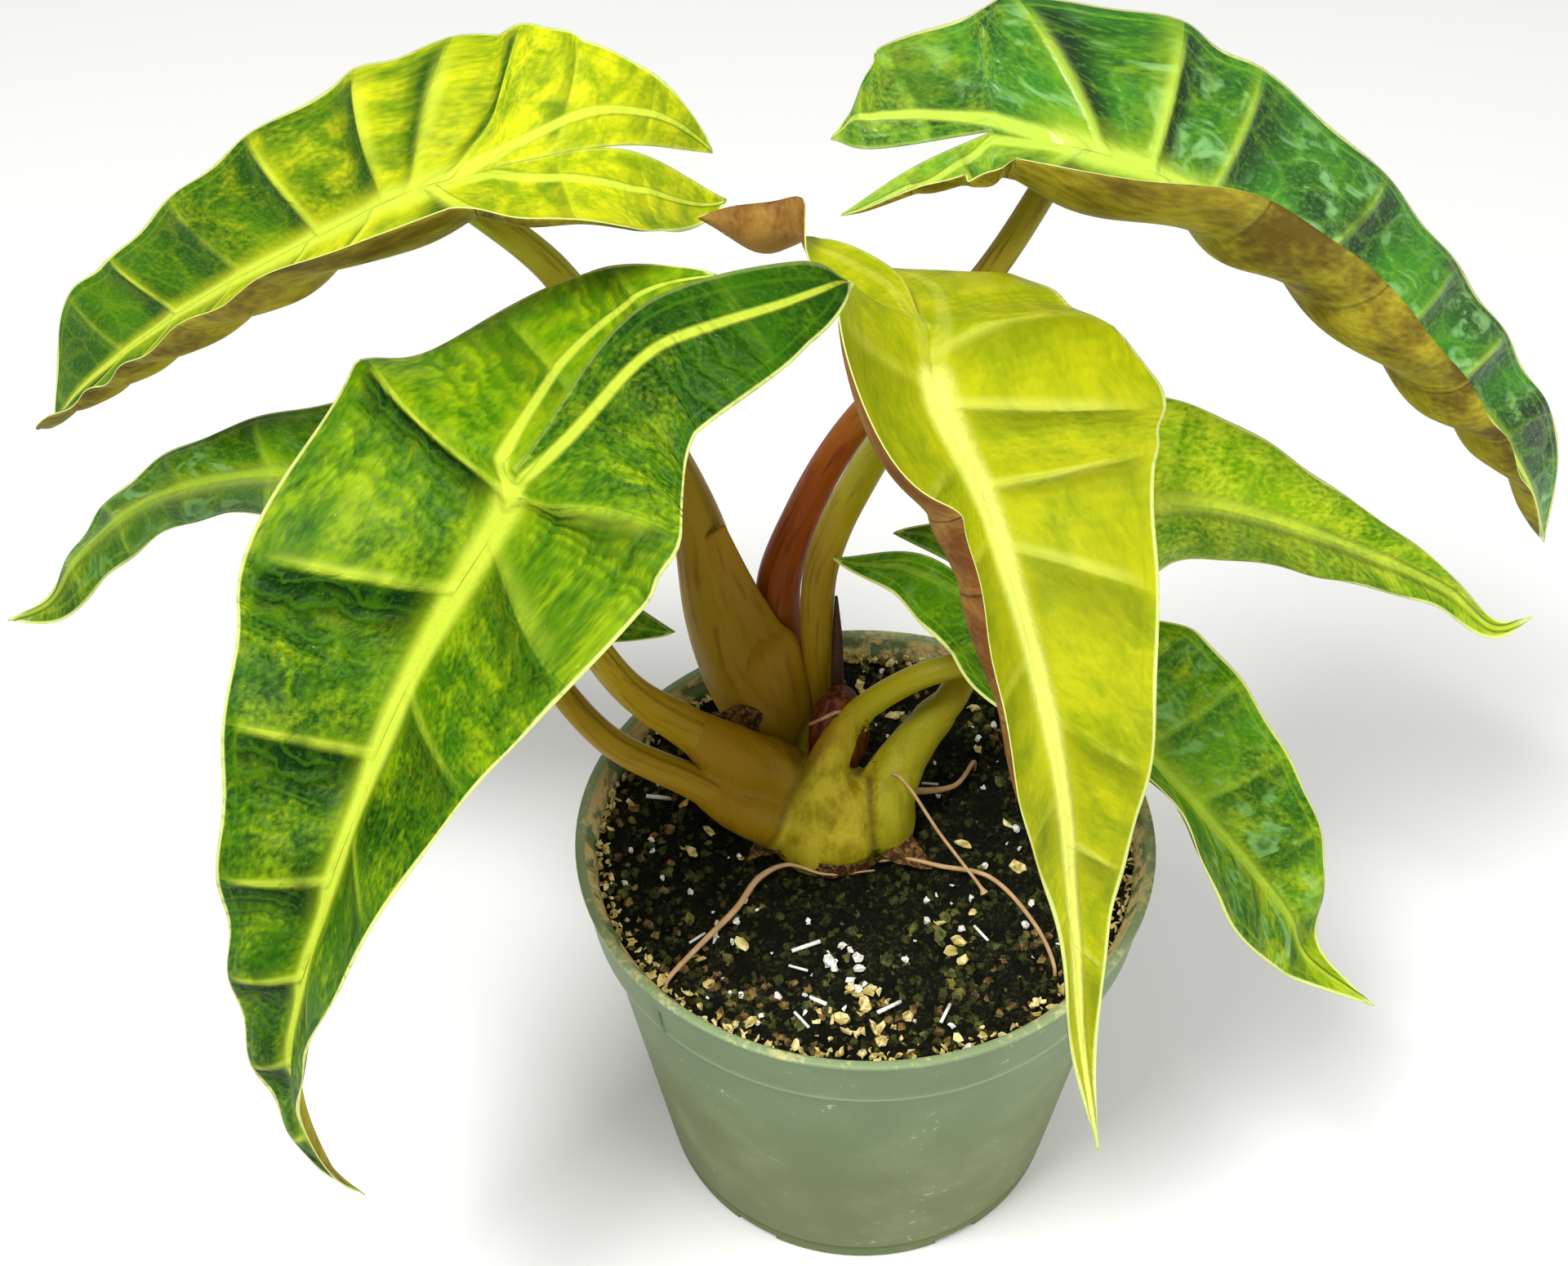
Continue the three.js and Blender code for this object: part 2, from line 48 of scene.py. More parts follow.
mm = 0.001
POT_HEIGHT = 84 * mm
RIM_RADIUS = 54 * mm
BASE_RADIUS = 40 * mm
BAND_FOOT = 71 * mm
BAND_STEP = 1.6 * mm
WALL = 1.6 * mm
LIP_WIDTH = 1.5 * mm
FLOOR = 3.2 * mm
PAD_RADIUS = 13 * mm
FOOT_WIDTH = 4 * mm
FOOT_RISE = 1.6 * mm
NOTCH_WIDTH = 9 * mm
DRAIN_RADIUS = 3.4 * mm
DRAIN_CIRCLE = 25 * mm
SLIT_WIDTH = 0.9 * mm
SLIT_SPAN = (71.5 * mm, 78.5 * mm)
SAGE = (0.1, 0.135, 0.032, 1)
SAGE_PALE = (0.18, 0.225, 0.085, 1)
SAGE_COOL = (0.105, 0.185, 0.08, 1)
# Painted shade under the rim band:
SAGE_SHADED = (0.07, 0.1, 0.03, 1)
# Painted highlight on the foot of the rim band:
SAGE_HIGHLIGHT = (0.4, 0.47, 0.28, 1)
# Painted highlight along the rim's top edge:
LIP_HIGHLIGHT = (0.34, 0.44, 0.22, 1)
SCUFFED = (0.52, 0.58, 0.42, 1)
SPLASHED = (0.13, 0.16, 0.09, 1)
CRUST = (0.62, 0.5, 0.2, 1)
DUST = (0.62, 0.56, 0.24, 1)


class Wire:
    """An output in a material's node tree. A sum or product with it adds the Math node."""

    def __init__(self, finish, socket):
        self.finish = finish
        self.socket = socket

    def math(self, operation, *others):
        inputs = dict(enumerate((self, *others)))
        return self.finish.node("ShaderNodeMath", {"operation": operation}, inputs)

    def __add__(self, other):
        return self.math("ADD", other)

    def __mul__(self, other):
        return self.math("MULTIPLY", other)

    def __sub__(self, other):
        return self.math("SUBTRACT", other)

    def __rsub__(self, other):
        return self * -1 + other

    def __truediv__(self, other):
        return self.math("DIVIDE", other)

    def __abs__(self):
        return self.math("ABSOLUTE")

    __radd__ = __add__
    __rmul__ = __mul__


class Finish:
    """A material, its Principled shader, and the ways to add nodes in front of it."""

    def __init__(self, name, **fixed):
        self.material = bpy.data.materials.new(name)
        self.material.use_nodes = True
        self.tree = self.material.node_tree
        self.shader = self.tree.nodes["Principled BSDF"]
        self.feed(self.shader, {key.replace("_", " "): value for key, value in fixed.items()})
        self.place = self.node("ShaderNodeTexCoord", output="Object")

    def feed(self, node, inputs):
        for name, value in inputs.items():
            socket = node.inputs[name] if isinstance(name, int) else self.find(node.inputs, name)
            if isinstance(value, Wire):
                self.tree.links.new(value.socket, socket)
            else:
                socket.default_value = value

    def find(self, sockets, name):
        return next(s for s in sockets if name in (s.identifier, s.name))

    def node(self, kind, settings=None, inputs=None, output=0):
        node = self.tree.nodes.new(kind)
        for name, value in (settings or {}).items():
            setattr(node, name, value)
        self.feed(node, inputs or {})
        found = node.outputs[output] if isinstance(output, int) else self.find(node.outputs, output)
        return Wire(self, found)

    def grain(self, size, detail=2, where=None, rough=0.5, warp=0):
        """Noise from 0 to 1 with grains of about that size in metres."""
        inputs = {"Vector": where or self.place, "Scale": 1 / size, "Detail": detail}
        inputs.update({"Roughness": rough, "Distortion": warp})
        return self.node("ShaderNodeTexNoise", None, inputs)

    def step(self, value, low, high):
        """0 below low, 1 above high, smooth between."""
        inputs = {"Value": value, "From Min": low, "From Max": high}
        return self.node("ShaderNodeMapRange", {"interpolation_type": "SMOOTHSTEP"}, inputs)

    def blend(self, share, first, second):
        """The first colour where the share is 0, the second where it is 1."""
        inputs = {"Factor_Float": share, "A_Color": first, "B_Color": second}
        return self.node("ShaderNodeMix", {"data_type": "RGBA"}, inputs, "Result_Color")

    def axes(self, vector):
        return [self.node("ShaderNodeSeparateXYZ", None, {"Vector": vector}, k) for k in range(3)]

    def scaled(self, vector, scale):
        return self.node("ShaderNodeMapping", None, {"Vector": vector, "Scale": scale})

    def unrolled(self, name):
        """The piece's own UV map of that name."""
        return self.node("ShaderNodeUVMap", {"uv_map": name})

    def given(self, name):
        """The number of that name that the mesh holds at each point."""
        return self.node("ShaderNodeAttribute", {"attribute_name": name}, None, "Fac")

    def bump(self, height, depth):
        inputs = {"Height": height, "Distance": depth}
        self.feed(self.shader, {"Normal": self.node("ShaderNodeBump", None, inputs)})

    def paint(self, colour, roughness):
        self.feed(self.shader, {"Base Color": colour, "Roughness": roughness})


def wall_radius(z):
    """Outer radius of the tapered wall at a height."""
    return BASE_RADIUS + (RIM_RADIUS - BAND_STEP - BASE_RADIUS) * z / POT_HEIGHT


def rounded(profile, radii):
    """A profile of (radius, height) points with its corners rounded."""
    cuts = 3
    points = [Vector(p) for p in profile]
    result = [points[0]]
    for before, corner, after, radius in zip(points, points[1:], points[2:], radii):
        reach = min(radius, (before - corner).length * 0.45, (after - corner).length * 0.45)
        start = corner + (before - corner).normalized() * reach
        end = corner + (after - corner).normalized() * reach
        for k in range(cuts + 1):
            f = k / cuts
            result.append(start * (1 - f) ** 2 + corner * 2 * f * (1 - f) + end * f * f)
    return result + [points[-1]]


def turned(profile, count):
    """Points and faces of a profile turned about Z. It starts and ends on the axis."""
    inner = profile[1:-1]
    angles = [2 * math.pi * k / count for k in range(count)]
    points = [(r * math.cos(a), r * math.sin(a), z) for r, z in inner for a in angles]
    faces = []
    for row in range(len(inner) - 1):
        for k in range(count):
            a = row * count + k
            b = row * count + (k + 1) % count
            faces.append((a, b, b + count, a + count))
    bottom, top = len(points), len(points) + 1
    points += [(0, 0, profile[0][1]), (0, 0, profile[-1][1])]
    last = (len(inner) - 1) * count
    for k in range(count):
        faces.append((bottom, (k + 1) % count, k))
        faces.append((top, last + k, last + (k + 1) % count))
    return points, faces


def mesh_piece(name, points, faces, *finishes):
    """A new smooth object at the origin with its place in its mesh."""
    mesh = bpy.data.meshes.new(name)
    mesh.from_pydata(points, [], faces)
    for finish in finishes:
        mesh.materials.append(finish.material)
    mesh.polygons.foreach_set("use_smooth", [True] * len(faces))
    mesh.update()
    piece = bpy.data.objects.new(name, mesh)
    bpy.context.scene.collection.objects.link(piece)
    return piece


def settled(piece, name):
    """A plain mesh of a piece with its modifiers worked in, which takes the piece's place."""
    graph = bpy.context.evaluated_depsgraph_get()
    mesh = bpy.data.meshes.new_from_object(piece.evaluated_get(graph))
    bpy.data.objects.remove(piece)
    mesh.name = name
    result = bpy.data.objects.new(name, mesh)
    bpy.context.scene.collection.objects.link(result)
    return result


plastic = Finish("sage_plastic", Specular_IOR_Level=0.3)
across_x, across_y, height = plastic.axes(plastic.place)
radius = plastic.node("ShaderNodeVectorMath", {"operation": "LENGTH"}, {
    0: plastic.node("ShaderNodeCombineXYZ", None, {"X": across_x, "Y": across_y}),
}, "Value")
cloud = plastic.grain(16 * mm, 3)
scuff = plastic.step(plastic.grain(2.2 * mm, 4, warp=1.5), 0.63, 0.72)
scuff = scuff * plastic.step(cloud, 0.46, 0.62)
# Paler towards the top, in clouds.
paler_upward = plastic.step(cloud + height * 3.2, 0.45, 0.95)
inside = plastic.step(RIM_RADIUS - LIP_WIDTH - radius, 0, 0.5 * mm)
inside = inside * plastic.step(height, 72 * mm, 76 * mm)
# The rim's top edge, which gets a painted highlight and real dust.
lip = plastic.step(height, POT_HEIGHT - 1.2 * mm, POT_HEIGHT - 0.3 * mm)
crusted = plastic.step(plastic.grain(5 * mm, 4), 0.4, 0.52)
crumbs = plastic.grain(1.1 * mm, 3)
# Painted shade: a dark line just under the rim band's step.
shade_under_band = plastic.step(abs(height - BAND_FOOT + 1.2 * mm), 1.6 * mm, 0.3 * mm)
# Painted highlight along the foot of the rim band.
band_edge_highlight = plastic.step(abs(height - BAND_FOOT - 0.9 * mm), 0.8 * mm, 0)
dusted = plastic.step(cloud + crumbs * 0.5, 0.76, 0.92)
shade = plastic.blend(paler_upward, SAGE, SAGE_PALE)
shade = plastic.blend(plastic.step(height, 30 * mm, 70 * mm) * 0.6, shade, SAGE_COOL)
shade = plastic.blend(scuff * 0.6, shade, SCUFFED)
shade = plastic.blend(plastic.step(crumbs, 0.66, 0.72) * 0.35, shade, SPLASHED)
# Painted shade under the rim band.
shade = plastic.blend(shade_under_band * 0.5, shade, SAGE_SHADED)
# Painted highlight on the foot of the rim band.
shade = plastic.blend(band_edge_highlight * 0.35, shade, SAGE_HIGHLIGHT)
# Painted highlight along the rim's top edge.
shade = plastic.blend(lip * 0.5, shade, LIP_HIGHLIGHT)
shade = plastic.blend(inside * crusted, shade, CRUST)
shade = plastic.blend(lip * dusted * 0.8, shade, DUST)
plastic.paint(shade, 0.42 + scuff * 0.2 + inside * 0.3 + cloud * 0.1)
plastic.bump(crumbs * (inside * crusted * 5 + 0.25) + plastic.grain(0.4 * mm) * 0.2, 0.2 * mm)

inner_base = BASE_RADIUS - FOOT_WIDTH
profile = rounded([
    (0, 0), (PAD_RADIUS, 0), (PAD_RADIUS + FOOT_RISE, FOOT_RISE),
    (inner_base - FOOT_RISE, FOOT_RISE), (inner_base, 0), (BASE_RADIUS, 0),
    (BASE_RADIUS + 0.1 * mm, 3 * mm), (BASE_RADIUS - 0.1 * mm, 3.6 * mm),
    *((wall_radius(z * mm), z * mm) for z in (5, 10, 25, 40, 55)),
    (wall_radius(BAND_FOOT), BAND_FOOT - BAND_STEP / 2),
    (wall_radius(BAND_FOOT) + BAND_STEP, BAND_FOOT), (RIM_RADIUS - 0.5 * mm, POT_HEIGHT - 1.6 * mm),
    (RIM_RADIUS, POT_HEIGHT - 0.8 * mm), (RIM_RADIUS, POT_HEIGHT),
    (RIM_RADIUS - LIP_WIDTH, POT_HEIGHT), (wall_radius(81 * mm) - WALL, 80.5 * mm),
    (wall_radius(FLOOR) - WALL, FLOOR), (0, FLOOR),
], [mm * r for r in (*[0.3] * 4, 0.8, *[0.3] * 3, *[0.1] * 4, 0.5, 0.7, 1, 0.4, 0.5, 0.5, 1, 2)])
pot_body = mesh_piece("pot_body", *turned(profile, 120), plastic)


def slot_cutter(name, outward, near, far, width, low, high):
    """A bar that cuts through the wall from inside to outside, between two heights."""
    aside = Vector((-outward.y, outward.x, 0)) * width / 2
    corners = [outward * r + aside * s + Vector((0, 0, z)) for z in (low, high)
               for r, s in ((near, -1), (far, -1), (far, 1), (near, 1))]
    sides = [(3, 2, 1, 0), (4, 5, 6, 7), (0, 1, 5, 4), (1, 2, 6, 5), (2, 3, 7, 6), (3, 0, 4, 7)]
    return mesh_piece(name, corners, sides)


drill = [(0, -mm), (DRAIN_RADIUS, -mm), (DRAIN_RADIUS, 2 * FLOOR), (0, 2 * FLOOR)]
points, faces = turned(drill, 24)
cutters = []
for k in range(6):
    angle = math.pi * (k + 0.5) / 3
    x, y = DRAIN_CIRCLE * math.cos(angle), DRAIN_CIRCLE * math.sin(angle)
    cutters.append(mesh_piece(f"drill_{k}", [(p[0] + x, p[1] + y, p[2]) for p in points], faces))
    angle = math.pi * k / 3
    outward = Vector((math.cos(angle), math.sin(angle), 0))
    cutters.append(slot_cutter(f"notch_{k}", outward, inner_base - 3 * mm, BASE_RADIUS + 2 * mm,
                               NOTCH_WIDTH, -mm, FOOT_RISE))
slit_way = Vector((-36, -40, 0)).normalized()
cutters.append(slot_cutter("tag_slit", slit_way, 51.5 * mm, 60 * mm, SLIT_WIDTH, *SLIT_SPAN))
for cutter in cutters:
    cut = pot_body.modifiers.new(cutter.name, "BOOLEAN")
    cut.object = cutter
    cut.operation = "DIFFERENCE"
    cut.solver = "EXACT"
pot = settled(pot_body, "pot_moulding")
for cutter in cutters:
    bpy.data.objects.remove(cutter)
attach(pot, "root")
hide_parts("pot")


# Soil -------------------------------------------------------------------------------
# Damp, near-black peat mix, filled to a few millimetres below the rim. Its surface is crumbly, with
# white perlite, pale slow-release rods, and chips of bark that have gathered along the rim.

SOIL_TOP = 79 * mm
SOIL_RADIUS = wall_radius(SOIL_TOP) - WALL - 0.2 * mm
SOIL_GAP = 0.35 * mm
SOIL_FOOT = FLOOR + SOIL_GAP
PEAT = (0.003, 0.0036, 0.0012, 1)
PEAT_LIT = (0.045, 0.045, 0.012, 1)
PEAT_FIBRE = (0.09, 0.1, 0.02, 1)


def soil_height(x, y):
    """Height of the soil's surface, from slow rises to crumbs."""
    place = Vector((x, y, 0)) / mm
    slow = noise.noise(place / 14) * 1.2 + noise.noise(place / 5.5) * 1.6
    crumb = noise.noise(place / 2.4 + Vector((7, 1, 3))) * 1.3
    crumb += noise.noise(place / 1.1 + Vector((2, 9, 5))) * 0.5
    return SOIL_TOP + (slow + crumb) * mm


rings, spokes = 62, 180
points, faces = [(0, 0, soil_height(0, 0))], []
for ring in range(1, rings + 1):
    r = SOIL_RADIUS * ring / rings
    for k in range(spokes):
        x, y = r * math.cos(2 * math.pi * k / spokes), r * math.sin(2 * math.pi * k / spokes)
        points.append((x, y, soil_height(x, y)))
for z in (60 * mm, SOIL_FOOT):
    r = wall_radius(z) - WALL - SOIL_GAP
    for k in range(spokes):
        a = 2 * math.pi * k / spokes
        points.append((r * math.cos(a), r * math.sin(a), z))
for k in range(spokes):
    after = (k + 1) % spokes
    faces.append((0, 1 + k, 1 + after))
    for ring in range(rings + 1):
        a, b = 1 + ring * spokes + k, 1 + ring * spokes + after
        faces.append((a, a + spokes, b + spokes, b))
faces.append([1 + (rings + 1) * spokes + k for k in reversed(range(spokes))])
peat = Finish("peat", Specular_IOR_Level=0.12)
damp = peat.grain(6 * mm, 3)
speck = peat.grain(0.8 * mm, 4, rough=0.7)
shade = peat.blend(peat.step(speck, 0.45, 0.7) * peat.step(damp, 0.35, 0.7), PEAT, PEAT_LIT)
shade = peat.blend(peat.step(peat.grain(1.6 * mm, 3), 0.66, 0.74) * 0.7, shade, PEAT_FIBRE)
peat.paint(shade, 0.75 + speck * 0.2)
peat.bump(speck, 0.6 * mm)
soil = mesh_piece("soil_fill", points, faces, peat)


def scatter_tree(shape, length, width, flatness, sides):
    """A Geometry Nodes tree that strews grains on top of the soil, each a little different.

    The grains are rods with that many sides, or rounded lumps where sides is 0.
    """
    least_upward, lumps_per_metre = 0.2, 1300.0
    tree = bpy.data.node_groups.new(f"strewn_{shape}", "GeometryNodeTree")
    face = tree.interface
    face.new_socket("Geometry", in_out="INPUT", socket_type="NodeSocketGeometry")
    for name, kind in (("Per square metre", "Float"), ("Centre", "Vector"), ("Near", "Float"),
                       ("Far", "Float"), ("Smallest", "Float"), ("Largest", "Float"),
                       ("Raggedness", "Float"), ("Tilt", "Float"), ("Sink", "Float"),
                       ("Seed", "Int"), ("Finish", "Material")):
        face.new_socket(name, in_out="INPUT", socket_type=f"NodeSocket{kind}")
    face.new_socket("Geometry", in_out="OUTPUT", socket_type="NodeSocketGeometry")

    def add(kind, settings=None, **inputs):
        node = tree.nodes.new(kind)
        for name, value in (settings or {}).items():
            setattr(node, name, value)
        for name, value in inputs.items():
            socket = node.inputs[int(name[1:])] if name[1:].isdigit() else node.inputs[name]
            if isinstance(value, bpy.types.NodeSocket):
                tree.links.new(value, socket)
            else:
                socket.default_value = value
        return node

    def calculated(operation, first, second):
        return add("ShaderNodeMath", {"operation": operation}, _0=first, _1=second).outputs[0]

    given = add("NodeGroupInput").outputs
    place = add("GeometryNodeInputPosition").outputs[0]
    away = add("ShaderNodeVectorMath", {"operation": "DISTANCE"}, _0=place, _1=given["Centre"])
    away = away.outputs["Value"]
    ring = calculated("MULTIPLY", calculated("GREATER_THAN", away, given["Near"]),
                      calculated("LESS_THAN", away, given["Far"]))
    facing = add("ShaderNodeSeparateXYZ", None, _0=add("GeometryNodeInputNormal").outputs[0])
    level = calculated("GREATER_THAN", facing.outputs["Z"], least_upward)
    thick = calculated("MULTIPLY", calculated("MULTIPLY", ring, level), given["Per square metre"])
    spread = add("GeometryNodeDistributePointsOnFaces", None, Mesh=given["Geometry"],
                 Density=thick, Seed=given["Seed"])
    if sides:
        grain = add("GeometryNodeMeshCylinder", None, Vertices=sides, Radius=width / 2,
                    Depth=length)
        turn = (0, math.pi / 2, 0)
        scale = (1, 1, 1)
    else:
        grain = add("GeometryNodeMeshUVSphere", None, Segments=7, Rings=5, Radius=0.5)
        turn = (0, 0, 0)
        scale = (length, width, width * flatness)
    shaped = add("GeometryNodeTransform", None, Geometry=grain.outputs["Mesh"], Rotation=turn,
                 Scale=scale)
    tilt = add("ShaderNodeCombineXYZ", None, X=given["Tilt"], Y=given["Tilt"], Z=math.pi)
    back = add("ShaderNodeVectorMath", {"operation": "SCALE"}, _0=tilt.outputs[0], Scale=-1.0)
    lean = add("FunctionNodeRandomValue", {"data_type": "FLOAT_VECTOR"}, _0=back.outputs[0],
               _1=tilt.outputs[0], Seed=given["Seed"])
    size = add("FunctionNodeRandomValue", {"data_type": "FLOAT"}, _2=given["Smallest"],
               _3=given["Largest"], Seed=given["Seed"])
    put = add("GeometryNodeInstanceOnPoints", None, Points=spread.outputs["Points"],
              Instance=shaped.outputs["Geometry"], Rotation=lean.outputs["Value"],
              Scale=size.outputs[1])
    real = add("GeometryNodeRealizeInstances", None, Geometry=put.outputs["Instances"])
    ragged = add("ShaderNodeTexNoise", {"noise_dimensions": "3D"}, Vector=place,
                 Scale=lumps_per_metre)
    middle = add("ShaderNodeVectorMath", {"operation": "SUBTRACT"}, _0=ragged.outputs["Color"],
                 _1=(0.5, 0.5, 0.5))
    push = add("ShaderNodeVectorMath", {"operation": "SCALE"}, _0=middle.outputs[0],
               Scale=given["Raggedness"])
    drop = add("ShaderNodeCombineXYZ", None, Z=given["Sink"])
    moved = add("ShaderNodeVectorMath", {"operation": "SUBTRACT"}, _0=push.outputs[0],
                _1=drop.outputs[0])
    rough = add("GeometryNodeSetPosition", None, Geometry=real.outputs["Geometry"],
                Offset=moved.outputs[0])
    done = add("GeometryNodeSetMaterial", None, Geometry=rough.outputs["Geometry"],
               Material=given["Finish"])
    tree.links.new(done.outputs[0], add("NodeGroupOutput").inputs[0])
    return tree


def strewn(name, tree, finish, smooth=False, **values):
    """Grains of one kind on the soil, as a plain mesh. They lie all over it unless told where."""
    base = bpy.data.objects.new(name, soil.data.copy())
    bpy.context.scene.collection.objects.link(base)
    strew = base.modifiers.new(name, "NODES")
    strew.node_group = tree
    values = {"Centre": (0, 0, SOIL_TOP), "Near": 0.0, "Far": SOIL_RADIUS, "Tilt": 1.5,
              "Finish": finish.material, **values}
    for item in tree.interface.items_tree:
        if item.in_out == "INPUT" and item.name.replace(" ", "_") in values:
            strew[item.identifier] = values[item.name.replace(" ", "_")]
    piece = settled(base, name)
    piece.data.polygons.foreach_set("use_smooth", [smooth] * len(piece.data.polygons))
    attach(piece, "root")
    return piece


def mineral(name, dark, light, size, roughness=0.8, **fixed):
    """A finish for loose grains: two tones in patches, with a rough surface."""
    finish = Finish(name, **fixed)
    tone = finish.grain(size, 4)
    finish.paint(finish.blend(finish.step(tone, 0.35, 0.65), dark, light), roughness + tone * 0.1)
    finish.bump(tone, 0.4 * mm)
    return finish


crumb_finish = mineral("peat_crumb", PEAT, (0.05, 0.055, 0.012, 1), 2.5 * mm,
                       Specular_IOR_Level=0.12)
moss_finish = mineral("moss_crumb", (0.015, 0.03, 0.003, 1), (0.16, 0.14, 0.02, 1), 2 * mm)
husk_finish = mineral("husk_crumb", (0.035, 0.016, 0.004, 1), (0.24, 0.15, 0.03, 1), 2 * mm)
perlite_finish = mineral("perlite", (0.72, 0.7, 0.6, 1), (0.93, 0.92, 0.86, 1), 0.8 * mm, 0.6)
bark_finish = mineral("bark_chip", (0.4, 0.3, 0.06, 1), (0.86, 0.74, 0.34, 1), 1.7 * mm)
rod_finish = mineral("feed_rod", (0.8, 0.8, 0.72, 1), (0.95, 0.95, 0.92, 1), 1 * mm, 0.4)
grain_tree = scatter_tree("grains", 1 * mm, 0.85 * mm, 0.8, 0)
chip_tree = scatter_tree("chips", 1 * mm, 0.62 * mm, 0.3, 0)
rod_tree = scatter_tree("rods", 4.2 * mm, 0.6 * mm, 1, 8)
strewn("soil_crumbs", grain_tree, crumb_finish, Per_square_metre=190000.0, Smallest=0.7,
       Largest=2.6, Raggedness=2.4 * mm, Sink=0.3 * mm, Seed=3)
strewn("moss_crumbs", grain_tree, moss_finish, Per_square_metre=30000.0, Near=20 * mm,
       Smallest=0.8, Largest=3.0, Raggedness=3.0 * mm, Sink=0.2 * mm, Seed=8)
strewn("husk_crumbs", grain_tree, husk_finish, Per_square_metre=60000.0, Near=36 * mm,
       Smallest=0.6, Largest=2.4, Raggedness=2.6 * mm, Sink=-0.1 * mm, Seed=9)
strewn("perlite", grain_tree, perlite_finish, Per_square_metre=13000.0, Near=16 * mm,
       Smallest=0.4, Largest=1.7, Raggedness=1.5 * mm, Sink=-0.7 * mm, Seed=5)
strewn("perlite_patch", grain_tree, perlite_finish, Per_square_metre=150000.0,
       Centre=(-1 * mm, -29 * mm, SOIL_TOP), Far=5 * mm, Smallest=1.0, Largest=2.6,
       Raggedness=2.0 * mm, Sink=-0.9 * mm, Seed=2)
strewn("bark_front", chip_tree, bark_finish, Per_square_metre=75000.0,
       Centre=(0, -42 * mm, SOIL_TOP), Far=9 * mm, Smallest=0.9, Largest=3.4,
       Raggedness=2.2 * mm, Tilt=1.2, Sink=-1.1 * mm, Seed=6)
strewn("bark_rim", chip_tree, bark_finish, Per_square_metre=380000.0,
       Near=SOIL_RADIUS - 2.4 * mm, Far=SOIL_RADIUS + mm, Smallest=0.6, Largest=2.4,
       Raggedness=1.8 * mm, Tilt=1.3, Sink=-1.6 * mm, Seed=11)
strewn("bark_chips", chip_tree, bark_finish, Per_square_metre=7000.0, Near=18 * mm, Far=46 * mm,
       Smallest=1.4, Largest=4.4, Raggedness=2.2 * mm, Tilt=0.7, Sink=-0.9 * mm, Seed=4)
strewn("feed_rods", rod_tree, rod_finish, True, Per_square_metre=2600.0, Near=18 * mm, Far=46 * mm,
       Smallest=0.7, Largest=1.3, Raggedness=0.0, Tilt=0.3, Sink=-1.0 * mm, Seed=22)
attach(soil, "root")
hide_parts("soil")


# Corm and roots ---------------------------------------------------------------------
# The swollen olive foot of the plant, pear-shaped with a second lobe on its right, where the leaf
# bases join. Torn brown membrane skirts its foot, and pale stilt roots run out to the rim.

# Centre and half sizes of each swelling, then path and radii of each neck and root, in millimetres.
CORM_FORMS = [
    ((-6.5, 3, 82.5), (12.2, 11.6, 11)), ((3, 3, 84), (6.6, 7.6, 11)), ((-14, 8, 84), (8, 8.5, 10)),
]
CORM_NECKS = [
    ([(-6.5, 3, 84), (-7, 2.5, 90), (-7.2, 3, 95.5), (-5.8, 4, 101), (-1.5, 7, 107), (4, 8, 111.5)],
     [11, 8.2, 4.6, 3.5, 2.9, 1.6]),
    ([(3, 3.5, 86), (4.6, 5, 91), (8.5, 8.5, 97.5), (12.5, 11.5, 102), (16.5, 14.5, 106.5)],
     [6.4, 5.4, 4.3, 3.7, 2.2]),
    ([(-9, 7, 85), (-16, 6, 91), (-24, 4, 98), (-29, 4, 102.5), (-33, 3.6, 106.5)],
     [6, 6.4, 5.9, 4.8, 3]),
    ([(-10, 1.5, 82), (-16, -0.5, 85), (-22, -1.8, 89.5), (-27, -1.5, 93), (-32, -1, 97)],
     [6, 5.2, 4.6, 3.8, 2.4]),
]
ROOTS = {
    "root_left": ([(2, -7.6, 80.6), (-7, -9, 80.8), (-14, -7.5, 81.5), (-19, -11, 82),
                   (-23, -18, 81.3), (-30, -28, 81.3), (-34.5, -34.5, 80.5), (-34.8, -34.8, 77)],
                  [0.15, 0.25, 0.4, 0.6, 0.6, 0.5, 0.45, 0.35]),
    "root_right": ([(2, -5.5, 80.6), (8, -5.5, 81.6), (14, -7, 81.6), (23, -9, 81.3),
                    (31, -20, 81.3), (34, -29, 81), (34.3, -30, 77)],
                   [0.2, 0.35, 0.45, 0.45, 0.4, 0.35, 0.3]),
    "root_knobbed": ([(2, 5, 92), (6, 1, 97), (14, -7, 90), (21.4, -13.4, 83.3), (22, -14, 82.5)],
                     [0.25, 0.3, 0.32, 0.36, 0.8]),
    "root_back": ([(4, 8, 85), (17, 13, 81.8), (21, 20, 81.2), (21.3, 21, 77)],
                  [0.9, 0.5, 0.4, 0.3]),
}
CORM_MIDDLE = (-5 * mm, 4 * mm, 86 * mm)
OLIVE = (0.25, 0.2, 0.003, 1)
STRAW = (0.46, 0.38, 0.02, 1)
LOBE_GREEN = (0.27, 0.28, 0.005, 1)
LEFT_BROWN = (0.27, 0.165, 0.003, 1)
# Painted shade along the pear's left edge:
SEAM_SHADE = (0.08, 0.04, 0.002, 1)
# Painted shade in the furrow between the corm's lobes:
FURROW_SHADE = (0.07, 0.04, 0.003, 1)
FOOT_TAN = (0.42, 0.32, 0.06, 1)
STALK_BROWN = (0.3, 0.17, 0.002, 1)
STALK_LIME = (0.28, 0.26, 0.004, 1)
MEMBRANE = (0.04, 0.016, 0.004, 1)
MEMBRANE_LIT = (0.3, 0.15, 0.035, 1)


